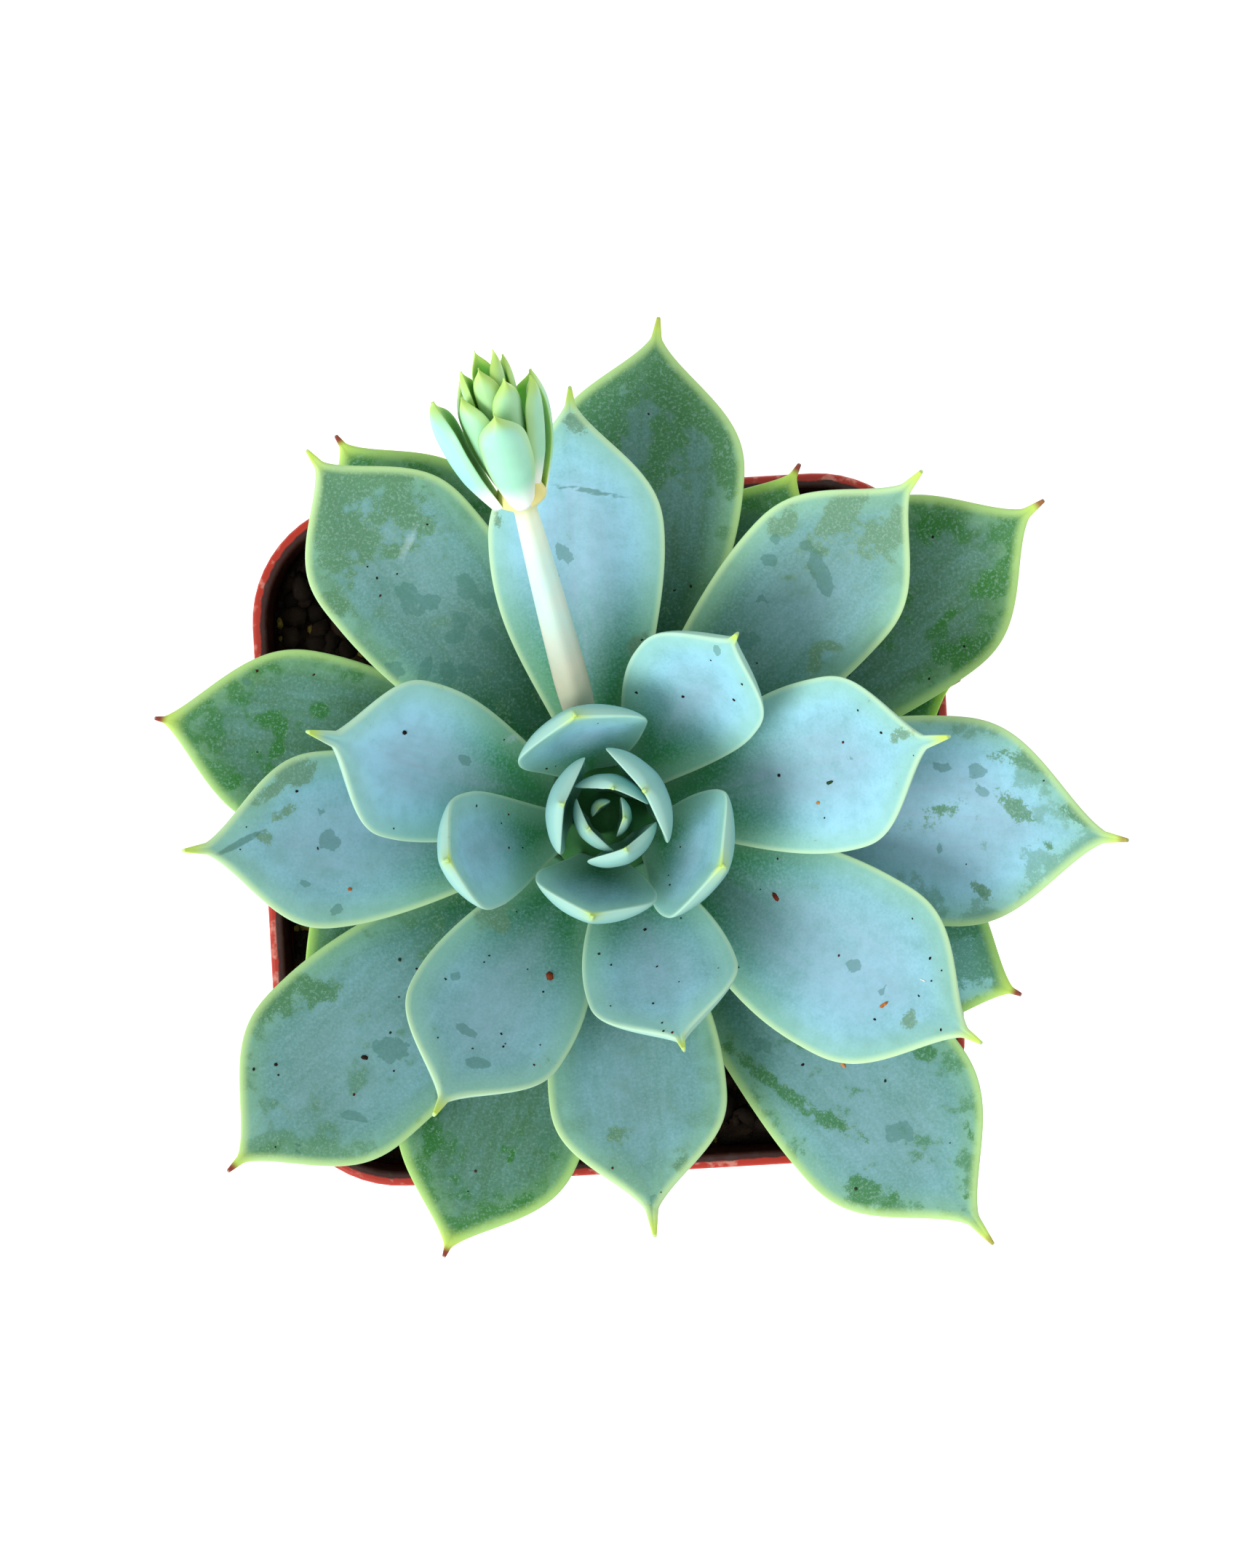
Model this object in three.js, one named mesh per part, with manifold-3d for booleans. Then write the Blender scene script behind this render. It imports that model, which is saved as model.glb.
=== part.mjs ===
// A rosette succulent in a square nursery pot: pot, soil, a short stem, a spiral
// of fleshy leaves and one young flower stalk that ends in a head of bracts.
// Millimetres, +Z up, origin at the middle of the pot's underside.
import * as THREE from 'three';
import { LoftGeometry } from 'three/addons/geometries/LoftGeometry.js';
import { mergeVertices } from 'three/addons/utils/BufferGeometryUtils.js';
import Module from 'manifold-3d';

const wasm = await Module();
wasm.setup();

// Pot: a tapered square shell with a stepped-out rim band.
const POT_HEIGHT = 80;
const RIM_WIDTH = 90;
const RIM_CORNER = 16;
const BASE_WIDTH = 64;
const BASE_CORNER = 11;
const WALL = 1.3;
const FLOOR = 1.8;
const BAND_HEIGHT = 7;
const BAND_STEP = 1.8;
const RIM_THICKNESS = 2;
const EDGE_ROUND = 0.6;
const DRAIN_BIG = 9;
const DRAIN_SMALL = 6;
const DRAIN_SPREAD = 0.55;

// Soil: fills the pot to a little below the rim, with a lumpy top that is washed
// into a shallow dish round the plant.
const FIT_GAP = 0.3;
const SOIL_DROP = 5.5;
const SOIL_DISH = 4.8;
const SOIL_LUMP = 0.45;

// Stem: a stub that carries the leaves and tapers into the root below the soil.
const PLANT_Y = 2;
const STEM_STANDOFF = 1;
const STEM_CLEARS_HEART = 0.5;
const ROOT_DEPTH = 34;
const ROOT_TIP = 1.6;

// Leaf spiral: each leaf is turned on by the golden angle and set a little lower.
const LEAF_TURN = 137.1;
const FIRST_LEAF_ANGLE = 127.3;
const LEAF_STEP = 0.68;
const HEART_ABOVE_RIM = 18;
const TOP_LEAF_Z = POT_HEIGHT + HEART_ABOVE_RIM;
const CROWN_RADIUS = 8.4;
const HEART_RADIUS = 1.2;
const CROWN_SPREAD = 7;

// Leaf shape, shared by every leaf and bract.
const BASE_SHARE = 0.36;
const TIP_WIDTH = 0.5;
const LEAF_THICKNESS = 2.8;
const UPPER_SHARE = 0.35;
const LEAF_STATIONS = [0, 0.1, 0.26, 0.42, 0.56, 0.68, 0.79, 0.88, 0.95, 1];
const BRACT_STATIONS = [0, 0.2, 0.45, 0.7, 0.88, 1];
const AROUND = 8;

// Leaves from the heart outwards, one row each: step, the place in the spiral; lean,
// the turn off the spiral in degrees; length; width; rise, the slope at the foot;
// curl, the slope gained by the tip; bow, the sideways bend; widest, the share of
// the length at the widest place; shoulder, how full the outline is past it; and
// point, how drawn out the tip is. Places 33 and 34 have dropped their leaves.
const LEAVES = [
  [0, 0, 5, 3, 78, 20, 0, 0.6, 1.8, 1.1],
  [1, 0, 7, 5, 78, 20, 0, 0.6, 1.8, 1.1],
  [2, 0, 10, 8, 76, 30, 0, 0.6, 1.8, 1.1],
  [3, -2, 12, 9.5, 76, 30, 0, 0.6, 1.8, 1.1],
  [4, -2, 13.5, 10, 74, 30, 0, 0.6, 1.8, 1.1],
  [5, 0, 15.5, 12.5, 74, 29, 0, 0.6, 1.8, 1.1],
  [6, 6, 17, 14, 76, 30, 0, 0.6, 1.8, 1.1],
  [7, 11, 16, 15.5, 51, 30, 0, 0.6, 1.8, 1.1],
  [8, -6, 16.5, 17, 50, 34, 0, 0.6, 1.8, 1.1],
  [9, 0, 19, 17.5, 45, 36, 0, 0.6, 1.8, 1.1],
  [10, -4, 26.5, 15, 33, 58, 0, 0.6, 1.8, 1],
  [11, -8, 30, 18, 32, 34, 0, 0.56, 1.8, 1.5],
  [12, 3, 31.5, 19.5, 29, 32, 0, 0.58, 1.7, 1.6],
  [13, 16, 39.5, 20.5, 26, 30, 0, 0.56, 1.6, 2.4],
  [14, 2, 43.5, 22, 23, 28, 0, 0.58, 1.6, 1.8],
  [15, 6, 41.5, 21.5, 21, 27, 0, 0.58, 1.7, 1.5],
  [16, -2, 52, 22, 19, 25, 1, 0.58, 1.3, 1],
  [17, 9, 52, 24.5, 17, 24, 0, 0.58, 1.6, 1.2],
  [18, 2, 49.5, 22.5, 15, 23, 0, 0.58, 1.4, 1.2],
  [19, 2, 54.5, 22, 14, 22, 0, 0.58, 1.6, 1.2],
  [20, 8, 48.5, 22.5, 13, 21, 0, 0.6, 1.4, 1.4],
  [21, -2, 54.5, 23, 12, 20, 0, 0.62, 1.7, 1.2],
  [22, 3, 60.5, 27, 11, 19, 1.5, 0.6, 1.4, 1.1],
  [23, 6, 60, 25.5, 10, 18, 0, 0.62, 1.7, 1.1],
  [24, 4, 57.5, 25.5, 10, 17, 0, 0.62, 1.6, 1.2],
  [25, 9, 67, 26, 9, 16, 1, 0.62, 1.7, 1.4],
  [26, 2, 52.5, 23.5, 9, 16, -1, 0.6, 1.5, 0.8],
  [27, 7, 62, 25, 8, 15, 0, 0.62, 1.7, 1.2],
  [28, -2, 53.5, 24.5, 8, 15, 0, 0.62, 1.6, 0.9],
  [29, 11, 53, 24, 8, 15, 0, 0.62, 1.7, 1],
  [30, -1, 51, 24, 8, 14, 0, 0.6, 1.6, 0.9],
  [31, 10, 40, 21, 8, 14, 0, 0.62, 1.6, 1],
  [32, -2, 44.5, 19, 8, 14, 0, 0.6, 1.6, 1],
  [35, 9, 42, 19, 9, 16, 0, 0.6, 1.6, 1],
].map(([step, lean, length, width, rise, curl, bow, widest, shoulder, point]) => {
  return { step, lean, length, width, rise, curl, bow, widest, shoulder, point };
});

// Flower stalk: leaves the stem at a place in the spiral where two leaves part, and
// ends above the heart. Its gap is the room between stem and stalk.
const STALK_ANGLE = 101.5;
const STALK_STEP = 12.6;
const STALK_GAP = 0.3;
const STALK_REACH = 38.4;
const STALK_ABOVE_HEART = 23;
const STALK_ROOT_RADIUS = 1.1;
const STALK_RADIUS = 2.3;
const STALK_NECK_RADIUS = 1.4;

// Head of bracts: a tight golden-angle spiral round the end of the stalk. Each
// pair gives the size of the lowest bract and of the innermost one.
const BRACT_COUNT = 13;
const HEAD_PITCH = 0.8;
const HEAD_ELEVATION = 30;
const HEAD_LEAN = 1;
const BRACT_LENGTH = [16, 12];
const BRACT_WIDTH = [7.2, 3];
const BRACT_RISE = [62, 87];
const BRACT_CURL = [22, 2];
const BRACT_THICKNESS = [1.9, 0.9];
const BRACT_RING = [3.2, 1.1];
const FIRST_BRACT_OPENS = 1;
const FIRST_BRACT_LIFT = 1.5;

const radians = THREE.MathUtils.degToRad;
const mix = THREE.MathUtils.lerp;
const UP = new THREE.Vector3(0, 0, 1);

const plant = new THREE.Group();

function addPart(name, geometry, color, roughness) {
  const material = new THREE.MeshStandardMaterial({ color, roughness, metalness: 0 });
  const mesh = new THREE.Mesh(geometry, material);
  mesh.name = name;
  plant.add(mesh);
}

function toSolid(geometry) {
  const bare = new THREE.BufferGeometry().copy(geometry);
  bare.deleteAttribute('normal');
  bare.deleteAttribute('uv');
  const merged = mergeVertices(bare, 1e-4);
  return new wasm.Manifold(new wasm.Mesh({
    numProp: 3,
    vertProperties: new Float32Array(merged.attributes.position.array),
    triVerts: new Uint32Array(merged.index.array),
  }));
}

function fromSolid(solid) {
  const mesh = solid.getMesh();
  const geometry = new THREE.BufferGeometry();
  geometry.setAttribute('position', new THREE.BufferAttribute(mesh.vertProperties, 3));
  geometry.setIndex(new THREE.BufferAttribute(mesh.triVerts, 1));
  return geometry;
}

function cappedLoft(sections) {
  return new LoftGeometry(sections, { closed: true, capStart: true, capEnd: true });
}

// A ring of points round a square with rounded corners.
function squareRing(half, corner, z) {
  const points = [];
  const cornerSteps = 6;
  for (let side = 0; side < 4; side += 1) {
    const middle = radians(45 + 90 * side);
    const x = Math.SQRT2 * (half - corner) * Math.cos(middle);
    const y = Math.SQRT2 * (half - corner) * Math.sin(middle);
    for (let i = 0; i <= cornerSteps; i += 1) {
      const angle = middle + radians(90 * (i / cornerSteps - 0.5));
      points.push(new THREE.Vector3(x + corner * Math.cos(angle), y + corner * Math.sin(angle), z));
    }
  }
  return points;
}

// Half width and corner radius of the outer wall at a height, below the rim band.
function wallAt(z) {
  const share = z / POT_HEIGHT;
  const topHalf = RIM_WIDTH / 2 - BAND_STEP;
  return {
    half: mix(BASE_WIDTH / 2, topHalf, share),
    corner: mix(BASE_CORNER, RIM_CORNER - BAND_STEP, share),
  };
}

function insetRing(z, inset) {
  const wall = wallAt(z);
  return squareRing(wall.half - inset, wall.corner - inset, z);
}

function rimRing(z, inset) {
  return squareRing(RIM_WIDTH / 2 - inset, RIM_CORNER - inset, z);
}

function drainHoles() {
  const holes = [];
  const spread = DRAIN_SPREAD * BASE_WIDTH / 2;
  for (let i = 0; i < 8; i += 1) {
    const big = i % 2 === 0;
    const angle = radians(45 * i + 45);
    const reach = big ? spread * Math.SQRT2 : spread * 1.25;
    const radius = (big ? DRAIN_BIG : DRAIN_SMALL) / 2;
    const hole = wasm.Manifold.cylinder(FLOOR * 3, radius, radius, 20, true);
    holes.push(hole.translate([reach * Math.cos(angle), reach * Math.sin(angle), FLOOR / 2]));
  }
  return wasm.Manifold.union(holes);
}

function potGeometry() {
  const bandBottom = POT_HEIGHT - BAND_HEIGHT;
  const outside = cappedLoft([
    insetRing(0, EDGE_ROUND),
    insetRing(EDGE_ROUND, 0),
    insetRing(bandBottom - EDGE_ROUND, 0),
    rimRing(bandBottom, EDGE_ROUND),
    rimRing(bandBottom + EDGE_ROUND, EDGE_ROUND / 2),
    rimRing(POT_HEIGHT - EDGE_ROUND, 0),
    rimRing(POT_HEIGHT, EDGE_ROUND),
  ]);
  const inside = cappedLoft([
    insetRing(FLOOR, WALL + EDGE_ROUND),
    insetRing(FLOOR + EDGE_ROUND, WALL),
    insetRing(bandBottom - BAND_STEP, WALL),
    rimRing(bandBottom + EDGE_ROUND, RIM_THICKNESS + EDGE_ROUND / 2),
    rimRing(POT_HEIGHT - EDGE_ROUND, RIM_THICKNESS),
    rimRing(POT_HEIGHT + EDGE_ROUND, RIM_THICKNESS - 2 * EDGE_ROUND),
  ]);
  return fromSolid(toSolid(outside).subtract(toSolid(inside)).subtract(drainHoles()));
}

// Height of the soil's top at a place: a shallow dish with rolling lumps.
function soilHeight(x, y) {
  const away = Math.hypot(x, y) / (RIM_WIDTH / 2);
  const dish = SOIL_DISH * Math.max(0, 1 - away * away);
  const lumps = Math.sin(x * 0.37 + 1) * Math.cos(y * 0.31) + Math.sin(x * 0.19 - y * 0.43);
  return POT_HEIGHT - SOIL_DROP - dish + SOIL_LUMP * lumps;
}

function soilRing(share) {
  const edge = rimRing(POT_HEIGHT, RIM_THICKNESS + EDGE_ROUND / 2 + FIT_GAP);
  for (const point of edge) {
    point.multiplyScalar(share);
    point.y += PLANT_Y * (1 - share);
    point.z = soilHeight(point.x, point.y);
  }
  return edge;
}

function ringAt(centre, across, over, radius, sides) {
  const points = [];
  for (let i = 0; i < sides; i += 1) {
    const angle = 2 * Math.PI * i / sides;
    const point = centre.clone();
    point.addScaledVector(across, radius * Math.cos(angle));
    point.addScaledVector(over, radius * Math.sin(angle));
    points.push(point);
  }
  return points;
}

// Distance from the plant's axis to the foot of a leaf at a place in the spiral.
function footRadius(step) {
  const taper = CROWN_RADIUS - HEART_RADIUS;
  return CROWN_RADIUS - taper * Math.exp(-((step / CROWN_SPREAD) ** 1.3));
}

function footHeight(step) {
  return TOP_LEAF_Z - LEAF_STEP * step;
}

// Radius of the bare stem below the lowest leaf.
function neckRadius() {
  return footRadius(LEAVES[LEAVES.length - 1].step) - 2 * STEM_STANDOFF;
}

// Stem and root as turned rings; grow fattens them to make room in the soil.
function stemSections(grow) {
  const lastStep = LEAVES[LEAVES.length - 1].step;
  const neck = neckRadius();
  const soilTop = POT_HEIGHT - SOIL_DROP - SOIL_DISH;
  const rings = [
    [soilTop - ROOT_DEPTH - grow, ROOT_TIP],
    [soilTop - 0.6 * ROOT_DEPTH, mix(ROOT_TIP, neck, 0.45)],
    [soilTop - 0.2 * ROOT_DEPTH, neck],
    [soilTop + 2 * SOIL_LUMP, neck],
  ];
  for (let step = lastStep; step >= 3; step -= step > 12 ? 6 : 3) {
    rings.push([footHeight(step), footRadius(step) - STEM_STANDOFF]);
  }
  rings.push([TOP_LEAF_Z - STEM_CLEARS_HEART, 0.5 * STEM_STANDOFF]);
  const across = new THREE.Vector3(1, 0, 0);
  const over = new THREE.Vector3(0, 1, 0);
  return rings.map(([z, radius]) => {
    return ringAt(new THREE.Vector3(0, PLANT_Y, z), across, over, radius + grow, 16);
  });
}

function soilGeometry() {
  const bottom = FLOOR + FIT_GAP;
  const bandBottom = POT_HEIGHT - BAND_HEIGHT;
  const rimInset = RIM_THICKNESS + EDGE_ROUND / 2 + FIT_GAP;
  const sections = [
    insetRing(bottom, WALL + EDGE_ROUND + FIT_GAP),
    insetRing(bottom + EDGE_ROUND, WALL + FIT_GAP),
    insetRing(bandBottom - BAND_STEP, WALL + FIT_GAP),
    rimRing(bandBottom + EDGE_ROUND, rimInset),
  ];
  for (const share of [0.985, 0.87, 0.74, 0.6, 0.46, 0.32, 0.2]) {
    sections.push(soilRing(share));
  }
  // The last two rings lie inside the stem's room, so the cut leaves an open hole.
  const diagonal = Math.SQRT2 * (RIM_WIDTH / 2 - RIM_CORNER) + RIM_CORNER;
  const inner = neckRadius() / diagonal;
  sections.push(soilRing(inner));
  sections.push(soilRing(inner / 2).map((point) => point.setZ(POT_HEIGHT)));
  const room = toSolid(cappedLoft(stemSections(FIT_GAP)));
  return fromSolid(toSolid(cappedLoft(sections)).subtract(room));
}

// Share of the full half width at a place along the blade: a slow swell from the
// foot to the widest place, then a rounded shoulder drawn out into a point.
function bladeShare(t, blade) {
  if (t < blade.widest) {
    return mix(BASE_SHARE, 1, Math.sin(Math.PI / 2 * t / blade.widest) ** 1.1);
  }
  const past = (t - blade.widest) / (1 - blade.widest);
  return ((1 + Math.cos(Math.PI * past ** blade.shoulder)) / 2) ** blade.point;
}

// A fleshy blade. It leaves its foot along the outward direction, tilted up by
// rise, and its slope grows by curl. The section is a lens, cupped upwards.
function bladeGeometry(foot, outward, upward, blade, stations) {
  const side = new THREE.Vector3().crossVectors(upward, outward);
  const sections = [];
  const steps = 40;
  let along = 0;
  let climb = 0;
  let done = 0;
  for (const t of stations) {
    while (done < Math.round(t * steps)) {
      const slope = radians(blade.rise + blade.curl * ((done + 0.5) / steps) ** 1.3);
      along += blade.length / steps * Math.cos(slope);
      climb += blade.length / steps * Math.sin(slope);
      done += 1;
    }
    const slope = radians(blade.rise + blade.curl * t ** 1.3);
    const spine = foot.clone().addScaledVector(outward, along).addScaledVector(upward, climb);
    spine.addScaledVector(side, blade.bow * Math.sin(Math.PI * t));
    const normal = outward.clone().multiplyScalar(-Math.sin(slope));
    normal.addScaledVector(upward, Math.cos(slope));
    const share = bladeShare(t, blade);
    const half = Math.max(blade.width / 2 * share, TIP_WIDTH / 2);
    const plump = blade.thickness * Math.min(1, 0.7 + t) * Math.max(0.25, share ** 0.35);
    sections.push(bladeSection(spine, side, normal, half, plump, blade.cup));
  }
  return cappedLoft(sections);
}

function bladeSection(spine, side, normal, half, plump, cup) {
  const points = [];
  for (let i = 0; i < AROUND; i += 1) {
    const angle = 2 * Math.PI * i / AROUND;
    const v = Math.cos(angle);
    const part = Math.sin(angle) > 0 ? UPPER_SHARE : 1 - UPPER_SHARE;
    const lens = Math.sign(Math.round(10 * Math.sin(angle))) * part * (1 - Math.abs(v) ** 2.6) ** 0.6;
    const point = spine.clone().addScaledVector(side, half * v);
    point.addScaledVector(normal, cup * half * v * v + plump * lens);
    points.push(point);
  }
  return points;
}

function leafGeometry(leaf) {
  const angle = radians(FIRST_LEAF_ANGLE - LEAF_TURN * leaf.step + leaf.lean);
  const outward = new THREE.Vector3(Math.cos(angle), Math.sin(angle), 0);
  const foot = new THREE.Vector3(0, PLANT_Y, footHeight(leaf.step));
  foot.addScaledVector(outward, footRadius(leaf.step));
  const young = Math.exp(-((leaf.step / 5) ** 2));
  const blade = {
    ...leaf,
    thickness: LEAF_THICKNESS * (1 - 0.6 * young),
    cup: 0.1 + 0.22 * Math.exp(-((leaf.step / 12) ** 2)),
  };
  return bladeGeometry(foot, outward, UP, blade, LEAF_STATIONS);
}

// Centre line of the flower stalk.
function stalkCurve() {
  const angle = radians(STALK_ANGLE);
  const outward = new THREE.Vector3(Math.cos(angle), Math.sin(angle), 0);
  const start = footRadius(STALK_STEP) + STALK_GAP;
  const end = TOP_LEAF_Z + STALK_ABOVE_HEART;
  const points = [0, 0.3, 0.65, 1].map((share) => {
    const point = new THREE.Vector3(0, PLANT_Y, 0);
    point.addScaledVector(outward, mix(start, STALK_REACH, share));
    point.z = mix(footHeight(STALK_STEP), end, share) + 1.5 * Math.sin(Math.PI * share);
    return point;
  });
  return new THREE.CatmullRomCurve3(points);
}

function stalkGeometry() {
  const curve = stalkCurve();
  const sections = [];
  const stations = 9;
  for (let i = 0; i <= stations; i += 1) {
    const t = i / stations;
    const tangent = curve.getTangentAt(t);
    const across = new THREE.Vector3().crossVectors(UP, tangent).normalize();
    const over = new THREE.Vector3().crossVectors(tangent, across);
    const swell = Math.sin(Math.PI / 2 * Math.min(1, t / 0.35));
    const taper = mix(STALK_RADIUS, STALK_NECK_RADIUS, t * t);
    const radius = mix(STALK_ROOT_RADIUS, taper, swell);
    sections.push(ringAt(curve.getPointAt(t), across, over, radius, 10));
  }
  return cappedLoft(sections);
}

function bractGeometry(index) {
  const share = (index / (BRACT_COUNT - 1)) ** 0.7;
  const lean = radians(STALK_ANGLE + HEAD_LEAN);
  const tilt = radians(HEAD_ELEVATION);
  const heading = new THREE.Vector3(Math.cos(lean), Math.sin(lean), Math.tan(tilt)).normalize();
  const across = new THREE.Vector3().crossVectors(UP, heading).normalize();
  const over = new THREE.Vector3().crossVectors(heading, across);
  const angle = radians(-LEAF_TURN * index);
  const outward = across.clone().multiplyScalar(Math.cos(angle));
  outward.addScaledVector(over, Math.sin(angle));
  const lift = HEAD_PITCH * index + (index === 0 ? FIRST_BRACT_LIFT : 0);
  const foot = stalkCurve().getPointAt(1).addScaledVector(heading, lift);
  foot.addScaledVector(outward, mix(...BRACT_RING, share));
  const blade = {
    length: mix(...BRACT_LENGTH, share),
    width: mix(...BRACT_WIDTH, share),
    rise: mix(...BRACT_RISE, share) - (index === 0 ? FIRST_BRACT_OPENS : 0),
    curl: mix(...BRACT_CURL, share) - (index === 0 ? FIRST_BRACT_OPENS : 0),
    thickness: mix(...BRACT_THICKNESS, share),
    bow: 0,
    widest: 0.55,
    shoulder: 2.2,
    point: 0.9,
    cup: 0.4,
  };
  return bladeGeometry(foot, outward, heading, blade, BRACT_STATIONS);
}

function leafColor(step) {
  if (step < 6) return '#8fbdb4';
  if (step < 17) return '#93bac6';
  if (step < 26) return '#83aab0';
  return '#6f9788';
}

addPart('pot', potGeometry(), '#b8452f', 0.5);
addPart('soil', soilGeometry(), '#2b221c', 0.95);
addPart('stem', cappedLoft(stemSections(0)), '#8a9a5b', 0.7);
addPart('flower_stalk', stalkGeometry(), '#dfe2bd', 0.55);
for (const leaf of LEAVES) {
  const label = String(leaf.step).padStart(2, '0');
  addPart(`leaf_${label}`, leafGeometry(leaf), leafColor(leaf.step), 0.6);
}
for (let index = 0; index < BRACT_COUNT; index += 1) {
  const label = String(index + 1).padStart(2, '0');
  addPart(`bract_${label}`, bractGeometry(index), '#b4d8bd', 0.55);
}

export default plant;
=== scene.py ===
"""Looks of a potted rosette succulent, laid out as an add-on and run as a script.

Every shape is a surface worked out from a formula, in millimetres, and put into
its mesh in metres in the frame of the packed model.
"""

import math
from functools import partial

import bpy
import numpy as np
from bpy.props import FloatProperty, FloatVectorProperty, IntProperty, PointerProperty
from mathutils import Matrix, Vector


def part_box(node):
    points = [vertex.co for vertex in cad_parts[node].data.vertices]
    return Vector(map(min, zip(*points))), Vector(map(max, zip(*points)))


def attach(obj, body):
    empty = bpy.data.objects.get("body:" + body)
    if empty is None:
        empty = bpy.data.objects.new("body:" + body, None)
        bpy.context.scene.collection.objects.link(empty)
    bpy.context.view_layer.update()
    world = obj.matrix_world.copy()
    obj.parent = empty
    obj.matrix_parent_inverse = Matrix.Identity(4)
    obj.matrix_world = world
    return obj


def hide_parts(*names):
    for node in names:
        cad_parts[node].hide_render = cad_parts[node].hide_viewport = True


bl_info = {
    "name": "Potted Rosette Succulent",
    "version": (1, 0, 0),
    "blender": (4, 5, 0),
    "location": "View3D > Sidebar > Succulent",
    "description": "Builds a blue-green rosette succulent in a square nursery pot",
    "category": "Add Mesh",
}

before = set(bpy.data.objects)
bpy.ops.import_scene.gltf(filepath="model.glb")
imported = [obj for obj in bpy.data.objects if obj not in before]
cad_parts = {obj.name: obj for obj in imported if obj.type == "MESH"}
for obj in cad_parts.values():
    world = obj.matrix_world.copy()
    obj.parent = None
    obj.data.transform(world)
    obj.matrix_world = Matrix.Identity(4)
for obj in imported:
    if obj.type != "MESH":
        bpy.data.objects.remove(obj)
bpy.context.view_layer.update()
MM = 0.001
POT_LOW, POT_HIGH = (np.array(corner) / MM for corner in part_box("pot"))
UP = np.array([0.0, 0.0, 1.0])

# rings along each surface and points round them
LEAF_ROWS, LEAF_COLUMNS = 84, 60
BRACT_ROWS, BRACT_COLUMNS = 44, 36
STALK_ROWS, HEAD_ROWS, STALK_COLUMNS = 70, 20, 32
STEM_ROWS, STEM_COLUMNS = 70, 40
SOIL_ROWS, SOIL_COLUMNS = 60, 200
CORNER_POINTS, WALL_ROWS, LIP_ROWS, POST_COLUMNS = 14, 14, 6, 32
# rings crowd towards a blade's point by this power; steps along its midrib and outline
ROW_POWER, MIDRIB_STEPS, OUTLINE_STEPS = 1.35, 400, 240
# starts of the random draws
LEAF_SEED, BRACT_SEED, GRIT_SEED, LITTER_SEED, CRUMB_SEED, LUMP_SEED = 500, 700, 41, 42, 31, 32
# widths in mm of a blade whose waves stand as the formula gives, and of one whose point is full
WAVY_WIDTH, POINTED_WIDTH = 24, 14
# the lowest bract stands this much further along the head, mm
FIRST_BRACT_LIFT = 1.5
# large and small drain holes: how far out in shares of the spread, and radius in mm
DRAIN_HOLES = ((math.sqrt(2), 4.5), (1.25, 3.0))
# places of the camera and of the soft key light, and the light's width, m; half the floor, mm
CAMERA_PLACE = (0.002785, 0.005804)
KEY_PLACE, KEY_WIDTH = (-0.55, -0.38, 0.62), 0.5
FLOOR_HALF = 8000
# tints of the grit on the leaves and of the crumbs on the soil
GRIT = ("#17150F", "#201B14", "#2B3A22", "#241C14", "#4A2A18")
CRUMB_TINTS = ("#120C08", "#150F0A", "#1B130D", "#221810", "#2C2016", "#1E160F", "#6B5A24", "#33251A")
# leaves with more grit on them than the rest, and how much more
GRITTY_LEAVES, MORE_GRIT = (12, 15, 17, 23), 2.5
# fine lumps of the soil's top: height and size in mm, start of the random draws
SOIL_NOISES = ((0.55, 3.1, 21), (0.35, 1.3, 22))
# the root's tip and its middle: depth under the soil's dish and radius, mm
ROOT_MARKS = ((34, 1.6), (20, 4.0))
# how much the stem's neck is thinner than the crown, mm
NECK_GAP = 1.4
# lowest bract and innermost one: length, width, slope at the foot, slope gained,
# thickness and distance from the head's axis
BRACT_RANGE = {"length": (16, 12), "width": (7.2, 3), "rise": (62, 87), "curl": (22, 2),
               "thickness": (1.9, 0.9), "ring": (3.2, 1.1)}

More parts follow.
